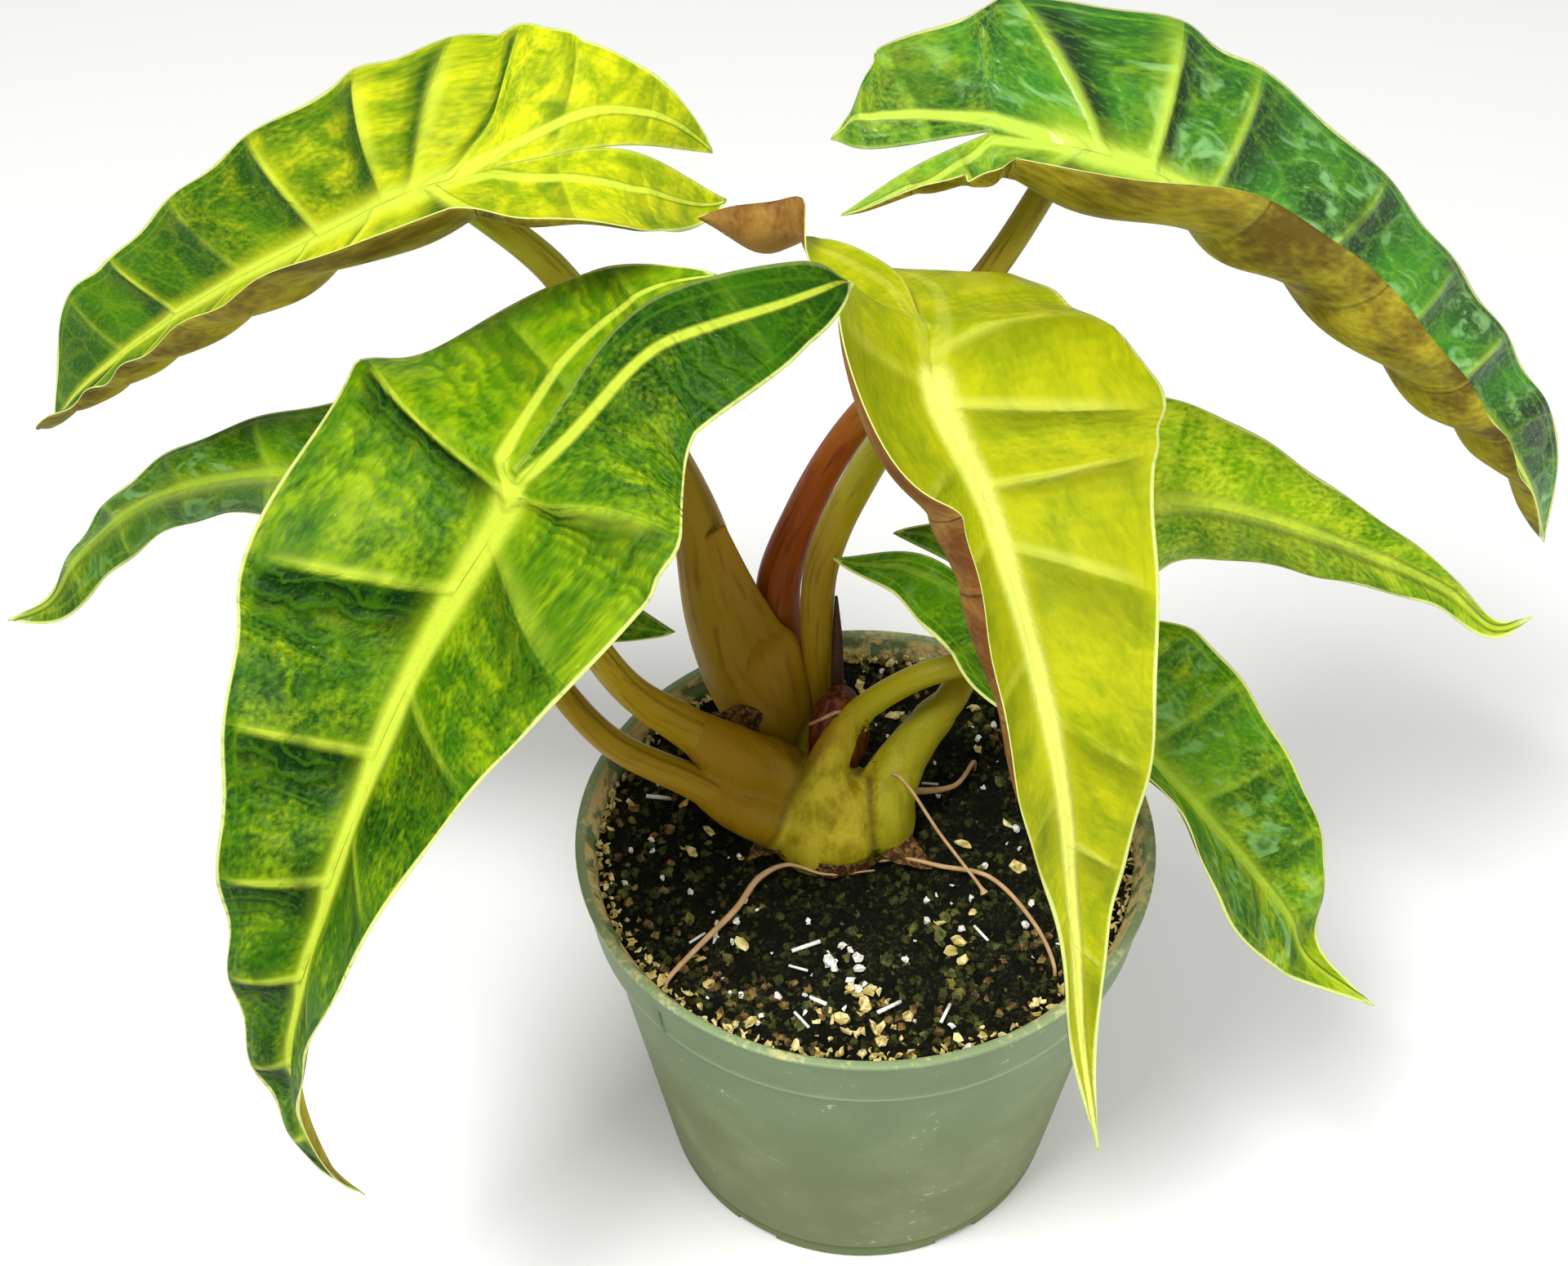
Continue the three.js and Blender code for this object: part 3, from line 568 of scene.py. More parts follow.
def smooth(stations, values, s):
    """Values at the places s, on a smooth curve through values that stand at the stations."""
    x, y, s = np.asarray(stations, float), np.asarray(values, float), np.asarray(s, float)
    if y.ndim == 1:
        return smooth(x, y[:, None], s)[..., 0]
    width = np.diff(x)[:, None]
    rise = np.diff(y, axis=0) / width
    slope = np.empty_like(y)
    slope[0], slope[-1] = rise[0], rise[-1]
    slope[1:-1] = (width[1:] * rise[:-1] + width[:-1] * rise[1:]) / (width[1:] + width[:-1])
    i = np.clip(np.searchsorted(x, s, "right") - 1, 0, len(x) - 2)
    step = width[i]
    f = ((s - x[i]) / (x[i + 1] - x[i]))[..., None]
    return ((2 * f ** 3 - 3 * f ** 2 + 1) * y[i] + (f ** 3 - 2 * f ** 2 + f) * step * slope[i]
            + (3 * f ** 2 - 2 * f ** 3) * y[i + 1] + (f ** 3 - f ** 2) * step * slope[i + 1])


def unit(vectors):
    """The same directions with a length of 1."""
    return vectors / np.linalg.norm(vectors, axis=-1, keepdims=True)


def store_map(mesh, name, u, v):
    """A UV map from one pair of numbers for each point of a mesh."""
    number = np.empty(len(mesh.loops), int)
    mesh.loops.foreach_get("vertex_index", number)
    uv = np.stack([u, v], 1)[number]
    mesh.uv_layers.new(name=name).data.foreach_set("uv", uv.ravel())


def store_number(mesh, name, values):
    """A number for each point of a mesh, for its finish to follow."""
    mesh.attributes.new(name, "FLOAT", "POINT").data.foreach_set("value", values)


def track(path, count):
    """Evenly numbered points and directions on a smooth line through a path's points."""
    path = np.asarray(path, float)
    knots = np.concatenate([[0], np.cumsum(np.sqrt(np.linalg.norm(np.diff(path, axis=0), axis=1)))])
    share = np.interp(np.linspace(0, len(path) - 1, count), np.arange(len(path)), knots)
    line = smooth(knots, path, share)
    return line, unit(np.gradient(line, axis=0))


def tube(name, path, radii, finish, sides, count, section=None):
    """A round stem along a path, in millimetres, with u round it and v along it in metres."""
    line, ahead = track(path, count)
    radius = smooth(np.arange(len(radii)), radii, np.linspace(0, len(radii) - 1, count))
    aside = unit(np.cross((0.31, 0.95, 0.05), ahead))
    other = np.cross(ahead, aside)
    angle = np.linspace(0, 2 * math.pi, sides, endpoint=False)
    k, j = np.meshgrid(np.linspace(0, 1, count), angle, indexing="ij")
    reach = radius[:, None] * (section(k, j) if section else 1)
    rings = line[:, None] + reach[..., None] * (
        aside[:, None] * np.cos(j)[..., None] + other[:, None] * np.sin(j)[..., None])
    points = [*rings.reshape(-1, 3), line[0], line[-1]]
    faces = []
    for row in range(0, (count - 1) * sides, sides):
        for a in range(sides):
            b = (a + 1) % sides
            faces.append((row + a, row + b, row + sides + b, row + sides + a))
    end = count * sides
    for a in range(sides):
        b = (a + 1) % sides
        faces.append((end, b, a))
        faces.append((end + 1, end - sides + a, end - sides + b))
    piece = mesh_piece(name, np.array(points) * mm, faces, finish)
    along = np.concatenate([[0], np.cumsum(np.linalg.norm(np.diff(line, axis=0), axis=1))]) * mm
    store_map(piece.data, "length", np.append(np.tile(angle / (2 * math.pi), count), [0, 0]),
              np.append(np.repeat(along, sides), [0, along[-1]]))
    share = np.append(np.repeat(np.linspace(0, 1, count), sides), [0, 1])
    store_number(piece.data, "share", share)
    return piece


def joined(name, pieces):
    """Several meshes as one."""
    with bpy.context.temp_override(active_object=pieces[0], selected_editable_objects=pieces):
        bpy.ops.object.join()
    pieces[0].name = name
    return pieces[0]


def egg(name, centre, size):
    """An egg-shaped closed form, in millimetres."""
    rows = 24
    profile = [(abs(math.sin(math.pi * k / rows)) if k % rows else 0, -math.cos(math.pi * k / rows))
               for k in range(rows + 1)]
    points, faces = turned(profile, 32)
    return mesh_piece(name, (np.array(points) * size + centre) * mm, faces, corm_skin)


def from_furrow(x, z, one):
    """How far x lies to the right of the furrow between the corm's lobes, where one is 1 mm."""
    return x - 1.6 * one - (z - 86 * one) * -0.12


def flesh(finish, stalk=None):
    """The olive skin of the corm, which passes into the skin of the stalks that rise from it."""
    x, y, z = finish.axes(finish.place)
    fibre = finish.grain(0.9 * mm, 3, finish.scaled(finish.place, (1, 1, 0.12)))
    blotch = finish.grain(5 * mm, 3)
    shade = finish.blend(finish.step(blotch + fibre * 0.4, 0.45, 0.85), OLIVE, STRAW)
    shade = finish.blend(finish.step(x, 0.5 * mm, 3 * mm) * 0.5, shade, LOBE_GREEN)
    brink = x + 17.5 * mm - (z - 84 * mm) * 0.52
    shade = finish.blend(finish.step(brink, 0.5 * mm, -1.5 * mm), shade, LEFT_BROWN)
    # Painted shade: a dark line along the pear's left edge, where it overlaps the stalk foot.
    seam_shade = finish.step(abs(brink + 0.4 * mm), 1.6 * mm, 0)
    shade = finish.blend(seam_shade * 0.55, shade, SEAM_SHADE)
    foot = finish.step(z + blotch * 3 * mm, 83 * mm, 79 * mm)
    shade = finish.blend(foot * 0.6, shade, FOOT_TAN)
    # Painted shade in the furrow between the corm's lobes.
    furrow_shade = finish.step(abs(from_furrow(x, z, mm)), 1.3 * mm, 0) * finish.step(y, 6 * mm, 3 * mm)
    shade = finish.blend(furrow_shade * 0.7, shade, FURROW_SHADE)
    away = finish.node("ShaderNodeVectorMath", {"operation": "DISTANCE"},
                       {0: finish.place, 1: CORM_MIDDLE}, "Value")
    if stalk is None:
        stalk = finish.blend(finish.step(x, -8 * mm, 1 * mm), STALK_BROWN, STALK_LIME)
    return finish.blend(finish.step(away, 14 * mm, 24 * mm), shade, stalk), fibre


corm_skin = Finish("corm_skin", Specular_IOR_Level=0.15)
shade, fibre = flesh(corm_skin)
blotch = corm_skin.grain(5 * mm, 3)
corm_skin.paint(shade, 0.38 + fibre * 0.2)
corm_skin.bump(fibre + blotch, 0.3 * mm)
forms = [egg(f"form_{i}", *form) for i, form in enumerate(CORM_FORMS)]
forms += [tube(f"neck_{i}", *neck, corm_skin, 28, 40) for i, neck in enumerate(CORM_NECKS)]
corm_body = joined("corm_forms", forms)
whole = corm_body.modifiers.new("whole", "REMESH")
whole.mode = "VOXEL"
whole.voxel_size = 0.6 * mm
whole.use_smooth_shade = True
even = corm_body.modifiers.new("even", "SMOOTH")
even.factor = 0.6
even.iterations = 12
corm = settled(corm_body, "corm_body")
for vertex in corm.data.vertices:
    p = vertex.co / mm
    around = math.atan2(p.y - 4, p.x + 6)
    fold = 0.08 * math.sin(around * 9 + p.z / 6)
    fold += 0.3 * noise.noise(Vector((p.x / 3, p.y / 3, p.z / 14)))
    crease = math.exp(-(from_furrow(p.x, p.z, 1) / 0.9) ** 2) * (p.y < 6)
    vertex.co += vertex.normal * (fold - 1.1 * crease) * mm
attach(corm, "root")
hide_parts("corm_and_roots")

root_skin = Finish("root_skin", Specular_IOR_Level=0.4)
knots = root_skin.grain(2.5 * mm, 3)
shade = root_skin.blend(knots, (0.3, 0.16, 0.06, 1), (0.66, 0.44, 0.22, 1))
root_skin.paint(shade, 0.55)
root_skin.bump(knots, 0.3 * mm)
for name, (path, radii) in ROOTS.items():
    root = tube(name, path, radii, root_skin, 10, 60)
    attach(root, "root")

membrane = Finish("torn_membrane", Specular_IOR_Level=0.2)
streak = membrane.grain(1.2 * mm, 4, warp=1)
membrane.paint(membrane.blend(membrane.step(streak, 0.4, 0.75), MEMBRANE, MEMBRANE_LIT), 0.55)
membrane.bump(streak, 0.4 * mm)


def flap(name, upper, under, finish):
    """A thin closed sheet between a grid of points and the same grid moved by a step."""
    count, rows = upper.shape[:2]
    faces = []
    for k in range(count - 1):
        for r in range(rows - 1):
            i = k * rows + r
            quad = (i, i + 1, i + rows + 1, i + rows)
            faces.append(quad)
            faces.append(tuple(v + count * rows for v in reversed(quad)))
    rim = [k * rows for k in range(count)] + [(count - 1) * rows + r for r in range(1, rows)]
    rim += [k * rows + rows - 1 for k in range(count - 2, -1, -1)] + list(range(rows - 2, 0, -1))
    for u, v in zip(rim, rim[1:] + rim[:1]):
        faces.append((u, v, v + count * rows, u + count * rows))
    points = np.concatenate([upper.reshape(-1, 3), (upper + np.array(under)).reshape(-1, 3)])
    piece = mesh_piece(name, points * mm, faces, finish)
    along = np.tile(np.repeat(np.linspace(0, 40 * mm, count), rows), 2)
    across = np.tile(np.tile(np.linspace(0, 0.3, rows), count), 2)
    store_map(piece.data, "length", across, along)
    return piece


def skirt(name, start, end, drop, flare):
    """A torn flap round the corm's foot, between two angles in degrees."""
    count, rows, centre, reach = 60, 10, (-5, 3.5), (13.2, 12)
    a, f = np.meshgrid(np.radians(np.linspace(start, end, count)), np.linspace(0, 1, rows),
                       indexing="ij")
    edge = np.sin(np.linspace(0, math.pi, count))[:, None] ** (0.4 if flare < 3 else 1.6)
    jag = np.array([0.85 + 0.3 * noise.noise(Vector((k / 9, drop, 2))) for k in range(count)])
    jag = jag[:, None]
    out = 0.1 + flare * f ** 1.5 * edge * jag
    wave = 0.25 * np.sin(a * 7) * f
    upper = np.stack([centre[0] + (reach[0] + out + wave) * np.cos(a),
                      centre[1] + (reach[1] + out + wave) * np.sin(a),
                      83 - drop * f * edge * jag], -1)
    return flap(name, upper, (0, 0, -0.35), membrane)


for number, torn in enumerate([(-150, -50, 3.2, 0.4), (-52, -12, 2.6, 7.5), (192, 224, 3, 6)]):
    torn = skirt(f"membrane_{number}", *torn)
    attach(torn, "root")


# Bud and dark spike -----------------------------------------------------------------
# A plump, dark red sheath that holds the next leaf, with a pale collar where it opened, and beside
# the centre stalk a thin, near-black spike.

BUD_PATH = [(-6, 10.5, 90), (-5.4, 10.5, 97), (-5, 10, 103), (-4.8, 10.5, 108.5)]
BUD_RADII = [4.6, 5.6, 5.2, 2.6]
SPIKE_PATH = [(-5.5, 15.5, 98), (-5.6, 17, 106), (-5.7, 19.5, 114), (-6, 21, 123)]
SPIKE_RADII = [1.3, 1.3, 1, 0.3]
MAROON = (0.035, 0.005, 0.001, 1)
MAROON_LIT = (0.16, 0.035, 0.004, 1)
COLLAR_BROWN = (0.16, 0.05, 0.02, 1)
COLLAR_PALE = (0.62, 0.42, 0.2, 1)
SPIKE_BLACK = (0.01, 0.004, 0.002, 1)
SPIKE_BROWN = (0.09, 0.03, 0.012, 1)

bud_skin = Finish("bud_skin", Specular_IOR_Level=0.2)
vein = bud_skin.grain(1 * mm, 3, bud_skin.scaled(bud_skin.place, (1, 1, 0.15)))
shade = bud_skin.blend(bud_skin.step(vein, 0.35, 0.7), MAROON, MAROON_LIT)
bud_skin.paint(shade, 0.32 + vein * 0.2)
bud_skin.bump(vein, 0.3 * mm)
bud = tube("bud_sheath", BUD_PATH, BUD_RADII, bud_skin, 32, 60,
           lambda k, j: 1 + 0.04 * np.sin(5 * j) * np.sin(math.pi * k))
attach(bud, "root")
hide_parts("bud")

collar_skin = Finish("collar_skin", Specular_IOR_Level=0.4)
speck = collar_skin.grain(1.2 * mm, 3)
collar_skin.paint(collar_skin.blend(speck, COLLAR_BROWN, COLLAR_PALE), 0.5)
collar_skin.bump(speck, 0.2 * mm)
turn = np.radians(np.linspace(185, 345, 14))
level = 100.5 + 6.8 * np.sin(turn - math.pi)
around = smooth([place[2] for place in BUD_PATH], BUD_RADII, level)
ring = np.stack([-5 + around * np.cos(turn), 10.2 + around * np.sin(turn), level], -1)
collar = tube("bud_collar", ring, [0.3] + [0.4] * 12 + [0.3], collar_skin, 8, 60)
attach(collar, "root")

# A thin, near-black spike beside the centre stalk.
spike_finish = Finish("dry_sheath", Specular_IOR_Level=0.3)
grain = spike_finish.grain(0.8 * mm, 3)
spike_finish.paint(spike_finish.blend(grain, SPIKE_BLACK, SPIKE_BROWN), 0.6)
spike_finish.bump(grain, 0.2 * mm)
spike = tube("dry_spike", SPIKE_PATH, SPIKE_RADII, spike_finish, 12, 40,
             lambda k, j: 1 - 0.35 * np.abs(np.sin(j)))
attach(spike, "root")
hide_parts("dried_sheath_tip")


# Stalks -----------------------------------------------------------------------------
# Seven fleshy leaf stalks, olive-yellow and streaked, each broad and sheathing at its foot and
# slender below its blade. The stalk of the upper right leaf is reddish brown.

# Path and radii of each stalk, in millimetres, from the corm up to its blade.
STALKS = {
    "front_left": ([(-19, 5, 94), (-24, 4, 98), (-32, 4, 105), (-42, 0, 119), (-50, -5, 142),
                    (-56, -6, 162), (-55, -17, 178)], [4.9, 4.9, 4, 3, 2.6, 2.4, 2.2]),
    "centre": ([(-9.5, 19.5, 81), (-9, 20, 98), (-9.5, 21, 113), (-9, 22.5, 127), (-6.5, 23.5, 137),
                (-1.5, 22, 151), (3, 16, 165), (9, -4, 191)], [3, 3.1, 3.1, 3.1, 3.1, 3, 2.7, 2.3]),
    "upper_left": ([(-15, 16.5, 80), (-18.5, 18, 93), (-24, 21.5, 103), (-28, 26, 114),
                    (-32, 31, 132), (-42, 33, 158), (-53, 33, 183), (-64, 31, 196),
                    (-71.6, 31, 201.6)], [7, 7.3, 7, 6.5, 4.8, 3.6, 2.9, 2.5, 2.3]),
    "upper_right": ([(-13.5, 21.5, 80), (-15.5, 25, 103), (-17, 30, 117), (-12.5, 35, 131),
                     (-4.5, 35, 149), (7.5, 34, 167), (20, 35, 186), (31, 41.4, 204)],
                    [4, 4.3, 4.2, 3.4, 3, 2.8, 2.5, 2.3]),
    "mid_left": ([(-20, -1.6, 88), (-31, -1, 96), (-47, 2, 104), (-60, 10, 117), (-68, 15, 132),
                  (-74, 13, 149)], [3.6, 3.2, 2.7, 2.4, 2.2, 2.1]),
    "right": ([(9, 9, 98), (16, 14, 106), (20, 22, 112), (25, 33, 121), (33, 35, 133),
               (38, 22, 148)], [3.2, 2.9, 2.6, 2.4, 2.2, 2.1]),
    "lower_right": ([(-5.4, 4.4, 101.5), (-2, 7, 106.5), (8, 8, 115), (19, 8, 120), (30, 3, 128)],
                    [2.3, 2.5, 2.4, 2.3, 2.2]),
}
CLEAR_OF_JOINT = 3.6
SHEATH_ROOT = [(-20, 11.5, 88), (-25.5, 15.5, 103), (-27.5, 19, 108), (-29.5, 22.5, 118),
               (-31, 26.5, 131)]
SHEATH_MARGIN = [(-9, 14.5, 88), (-12.4, 19.3, 111), (-16.9, 23.4, 114.8), (-21.5, 25, 123.5),
                 (-26.4, 27, 134.5)]
SHEATH_BULGE = (0.1, -0.75, 0.55)
WING_FOOT = [(-29, 8, 96), (-22, 9.5, 92), (-15, 10.5, 91)]
WING_EDGE = [(-28.5, 11, 101), (-23, 12.5, 102.5), (-16, 13, 98)]


def stalk_finish(name, base, middle, top, streak):
    """Flesh that changes colour from foot to blade, with fine lengthwise streaks."""
    finish = Finish(name, Specular_IOR_Level=0.15)
    fibre = finish.grain(1, 4, finish.scaled(finish.unrolled("length"), (22, 90, 1)))
    climb = finish.given("share") + finish.grain(6 * mm, 3) * 0.2
    shade = finish.blend(finish.step(climb, 0.15, 0.5), base, middle)
    shade = finish.blend(finish.step(climb, 0.6, 1.05), shade, top)
    shade = finish.blend(finish.step(fibre, 0.5, 0.7) * 0.65, shade, streak)
    if name == "stalk_skin":
        lime = finish.step(finish.axes(finish.place)[0], -8 * mm, 1 * mm)
        shade = flesh(finish, finish.blend(lime * 0.8, shade, STALK_LIME))[0]
    finish.paint(shade, 0.34 + fibre * 0.2)
    finish.bump(fibre, 0.25 * mm)
    return finish


green_stalk = stalk_finish("stalk_skin", (0.33, 0.19, 0.004, 1), (0.32, 0.21, 0.004, 1),
                           (0.38, 0.38, 0.01, 1), (0.18, 0.085, 0.002, 1))
red_stalk = stalk_finish("red_stalk_skin", (0.28, 0.1, 0.006, 1), (0.27, 0.06, 0.004, 1),
                         (0.3, 0.26, 0.012, 1), (0.12, 0.015, 0.002, 1))


def between(first, second, count, rows):
    """A grid of points from one smooth line to another, and the share of the way across."""
    steps = np.linspace(0, len(first) - 1, count)
    across = np.linspace(0, 1, rows)[None, :, None]
    lines = [smooth(range(len(first)), line, steps)[:, None] for line in (first, second)]
    return lines[0] * (1 - across) + lines[1] * across, steps[:, None, None], across


grid, climb, across = between(SHEATH_ROOT, SHEATH_MARGIN, 60, 16)
swell = (2.4 - 0.45 * climb) * np.sin(math.pi * across) * np.array(SHEATH_BULGE)
sheath = flap("sheath_upper_left", grid + swell, (0, 0.5, -0.4), green_stalk)
wing = flap("dry_wing", between(WING_FOOT, WING_EDGE, 24, 8)[0], (0, 0.4, 0.1), membrane)
for sheet in (sheath, wing):
    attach(sheet, "root")
for name, (path, radii) in STALKS.items():
    finish = red_stalk if name == "upper_right" else green_stalk
    joint = np.array(path[-1], float)
    line, _ = track(path, 200)
    end = int(np.argmax(np.linalg.norm(line - joint, axis=1) < CLEAR_OF_JOINT))
    whole = smooth(np.arange(len(radii)), radii, np.linspace(0, len(radii) - 1, len(line)))
    pick = np.linspace(0, end, 40).astype(int)
    stalk = tube(f"stem_{name}", line[pick], whole[pick], finish, 28, 150)
    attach(stalk, "root")
    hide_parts(f"stalk_{name}")


# Leaf blades ------------------------------------------------------------------------
# Seven arrow-shaped blades, quilted between raised, pale ribs, with waved, cream-edged margins and
# long drip tips. Green and yellow run through each other, and the undersides are brownish olive.

# Places along a blade run from -1 at the end of a lobe, past the notch and the joint at 0, to 1 at
# the tip. A blade has its midrib in millimetres, the way it heads and how far it is quilted. A half
# has the line of its lobe, its widths, its fold at the midrib and its curl on the way to the margin
# in degrees, its side veins from the midrib to the margin, and how yellow it is.
NOTCH = -0.1
RIB_PLACES = [NOTCH, 0, 0.25, 0.5, 0.75, 0.9, 1]
WIDTH_PLACES = [-1, -0.5, NOTCH, 0, 0.25, 0.5, 0.75, 0.9, 1]
BEND_PLACES = [-1, NOTCH, 0.3, 0.7, 1]
YELLOW_PLACES = [-1, -0.5, 0, 0.3, 0.6, 1]
EVEN_VEINS = [(-0.6, -0.7), (-0.3, -0.42), (0, -0.15), (0.14, 0.22), (0.29, 0.4), (0.44, 0.56),
              (0.6, 0.71), (0.76, 0.84)]
LEAVES = {
    "front_left": {
        "quilt": 1.2, "heading": -124,
        "rib": [(-54, -16, 181), (-55, -17, 176), (-71, -31, 151), (-82, -58, 130), (-91, -68, 96),
                (-89, -69, 72), (-86, -65, 58)],
        "left": {
            "lobe": [(-3.9, -18.5, 217.2), (-11.9, -9.3, 214.4), (-33, -2, 203)], "blunt": 0.05,
            "width": [22.5, 32, 32, 30, 19, 7, 2],
            "fold": [10, 10, 26, 40, 15], "curl": [0, -10, -10, -5, 0], "veined": 0.35,
            "veins": [(-0.6, -0.7), (-0.3, -0.45), (0, -0.3), (0.07, 0.19), (0.26, 0.365),
                      (0.42, 0.51), (0.57, 0.64), (0.72, 0.77)],
            "yellow": [0.1, 0.2, 0.65, 0.4, 0.35, 0.5],
        },
        "right": {
            "lobe": [(-24, 11, 198), (-38, 0, 191)],
            "width": [27, 38, 37, 30, 19, 9, 3],
            "fold": [5, 0, 36, 15, 15], "curl": [-10, -20, -15, -25, 0],
            "veins": [(-0.65, -0.75), (-0.33, -0.46), (0, -0.15), (0.14, 0.22), (0.34, 0.405),
                      (0.48, 0.535), (0.6, 0.65), (0.72, 0.765), (0.83, 0.86)],
            "yellow": [1.2, 1.1, 0.7, 0.4, 0.35, 0.4],
        },
    },
    "centre": {
        "quilt": 0.6, "heading": -66, "yellow": [1, 1, 0.95, 0.9, 0.85, 0.9],
        "rib": [(8, 6, 193), (9, -4, 189), (18, -16, 173), (28, -42, 150), (33, -52, 119),
                (36, -61, 97), (39, -68, 83)],
        "left": {
            "lobe": [(-4.9, 26.4, 190.8), (1.3, 15.4, 192.6)],
            "width": [25, 31, 35, 27, 16, 6, 2], "veined": 0.6,
            "fold": [-10, 5, 16, 16, 10], "curl": [-25, -20, -15, -10, -5],
            "veins": [(-0.6, -0.7), (-0.3, -0.42), (-0.05, -0.22), (0.03, 0.13), (0.2, 0.225),
                      (0.28, 0.41), (0.46, 0.58), (0.62, 0.7), (0.76, 0.81)],
        },
        "right": {
            "lobe": [(-27.8, 18.3, 204), (0, 15.5, 197.3)],
            "width": [9.5, 18, 28, 29, 13, 3, 2], "veined": 0.3, "blunt": 0.3,
            "inner": ([-1, -0.93, -0.85, -0.76, -0.71, -0.55, -0.4, -0.2],
                      [0, 3.5, 7, 10, 3.2, 2, 1.5, 0]),
            "bends": [-1, -0.8, -0.7, -0.45, -0.1, 0.3, 0.7, 1],
            "fold": [72, 72, 30, 14, 30, 32, 5, 10], "curl": [90, 120, 10, 6, 30, 85, 30, 10],
            "veins": [(-0.6, -0.7), (-0.3, -0.4), (0, -0.05), (0.14, 0.27), (0.27, 0.37),
                      (0.4, 0.47), (0.55, 0.62), (0.7, 0.76)],
        },
    },
    "upper_left": {
        "quilt": 1, "heading": 161,
        "rib": [(-61, 31, 205), (-72, 31, 201), (-92, 37, 188), (-117, 45, 170), (-138, 53, 152),
                (-152, 57, 139), (-160, 60, 129)],
        "left": {
            "lobe": [(-25, 40, 194), (-42, 32, 208)],
            "width": [23, 28, 29, 27, 23, 17, 13],
            "fold": [-20, -10, -18, -20, -10], "curl": [40, 65, 80, 62, 42],
            "veins": [(-0.6, -0.7), (-0.3, -0.42), (0, -0.2), (0.12, 0.22), (0.28, 0.42),
                      (0.44, 0.6), (0.6, 0.75), (0.76, 0.87)],
            "yellow": [1, 1, 0.9, 0.5, 0.3, 0.15],
        },
        "right": {
            "lobe": [(-28, 51, 196), (-43, 36, 206)],
            "width": [19, 29, 30, 29, 24, 19, 17],
            "fold": [33, 32, 43, 50, 45], "curl": [-12, -18, -15, -7, 5],
            "veins": [(-0.65, -0.75), (-0.3, -0.5), (-0.02, -0.33), (0.04, -0.06), (0.09, 0.21),
                      (0.26, 0.46), (0.42, 0.64, 0.3), (0.59, 0.82), (0.76, 0.92, 0.3)],
            "yellow": [1.1, 1, 0.7, 0.35, 0.12, 0.05],
        },
    },
    "upper_right": {
        "quilt": 1.2, "heading": 3,
        "rib": [(18, 42, 206), (32, 42, 203), (59, 43, 190), (90, 44, 165), (112, 46, 145),
                (123, 46, 129), (128, 47, 117)],
        "left": {
            "lobe": [(-8, 44, 203), (0, 38, 205)],
            "width": [19, 27, 30, 29, 26, 17, 12],
            "fold": [27, 30, 38, 36, 40], "curl": [-15, -20, -18, -17, 5],
            "veins": [(-0.6, -0.7), (-0.3, -0.42), (0.04, -0.12, 0.8), (0.11, 0.12),
                      (0.21, 0.25, 0.6), (0.36, 0.45, 0.5), (0.5, 0.61, 0.3), (0.64, 0.74, 0.5),
                      (0.78, 0.86, 0.3)],
            "yellow": [0.6, 0.45, 0.3, 0.12, 0.03, 0],
        },
        "right": {
            "lobe": [(-6, 26, 200), (6, 33, 205)],
            "width": [15, 26, 31, 32, 26, 17, 9],
            "fold": [-3, -9, -8, -18, -28], "curl": [55, 86, 130, 86, 33],
            "veins": [(-0.6, -0.7), (-0.3, -0.42), (0, -0.15), (0.13, 0.2), (0.28, 0.38),
                      (0.43, 0.55), (0.58, 0.69), (0.74, 0.83)],
            "yellow": [0.7, 0.6, 0.5, 0.4, 0.3, 0.1],
        },
    },
    "mid_left": {
        "quilt": 1, "heading": 164, "veined": 0.5, "yellow": [0.2, 0.2, 0.2, 0.15, 0.2, 0.5],
        "rib": [(-67, 12, 146), (-74, 13, 147), (-101, 22, 148), (-130, 30, 136), (-152, 36, 115),
                (-163, 39, 100), (-173, 42, 93)],
        "left": {
            "lobe": [(-35, 15, 119), (-52, 11, 138)], "width": [20, 22, 22, 17, 11, 7, 4],
            "fold": [-54, -70, -100, -100, -50], "curl": [-5, -20, -35, -35, -5],
        },
        "right": {
            "lobe": [(-40, 25, 142), (-52, 16, 143)], "width": [17, 21, 23, 18, 12, 7, 2],
            "fold": [27, 30, 18, 24, 20], "curl": [-12, -15, -20, -15, 0],
        },
    },
    "right": {
        "quilt": 0.6, "heading": 6, "veined": 0.25, "yellow": [0.5, 0.5, 0.55, 0.5, 0.5, 0.8],
        "rib": [(33, 23, 147), (38, 22, 146), (60, 24, 143), (83, 27, 133), (106, 29, 120),
                (117, 29, 111), (123, 30, 113)],
        "left": {
            "lobe": [(18, 31, 147), (24, 25, 147)], "width": [18, 23, 24, 20, 13, 6, 2],
            "fold": [24, 24, 26, 16, 14], "curl": [-13, -18, -16, -18, -5],
        },
        "right": {
            "lobe": [(17, 18, 148), (24, 21, 148)], "width": [12, 14, 17, 19, 11, 4, 2],
            "fold": [-30, -45, -98, -80, -44], "curl": [-7, -23, -33, -25, -5],
        },
    },
    "lower_right": {
        "quilt": 0.7, "heading": -24, "veined": 0.4, "yellow": [0.15, 0.1, 0.3, 0.25, 0.3, 0.7],
        "rib": [(26, 8, 129), (30, 3, 126), (45, -4, 114), (61, -12, 100), (76, -18, 83),
                (82, -21, 73), (93, -26, 68)],
        "left": {
            "lobe": [(4, 26, 134), (18, 17, 132)], "width": [15, 16, 18, 25, 21, 13, 4],
            "fold": [20, 15, 28, 25, 0], "curl": [-10, -10, -20, -10, -10],
        },
        "right": {
            "lobe": [(-6.5, 14, 138.5), (11, 16, 137)], "width": [14, 20, 25, 23, 19, 12, 5],
            "fold": [0, 12, 42, 10, 7], "curl": [-10, -7, -6, -17, -5],
        },
    },
}
LEAST_WIDTH = 0.25
BLUNT_REACH = 0.35
BLUNTNESS = 0.25
THICKNESS = 0.6
RIM_WAVE = 0.5
SCALLOP = 0.012
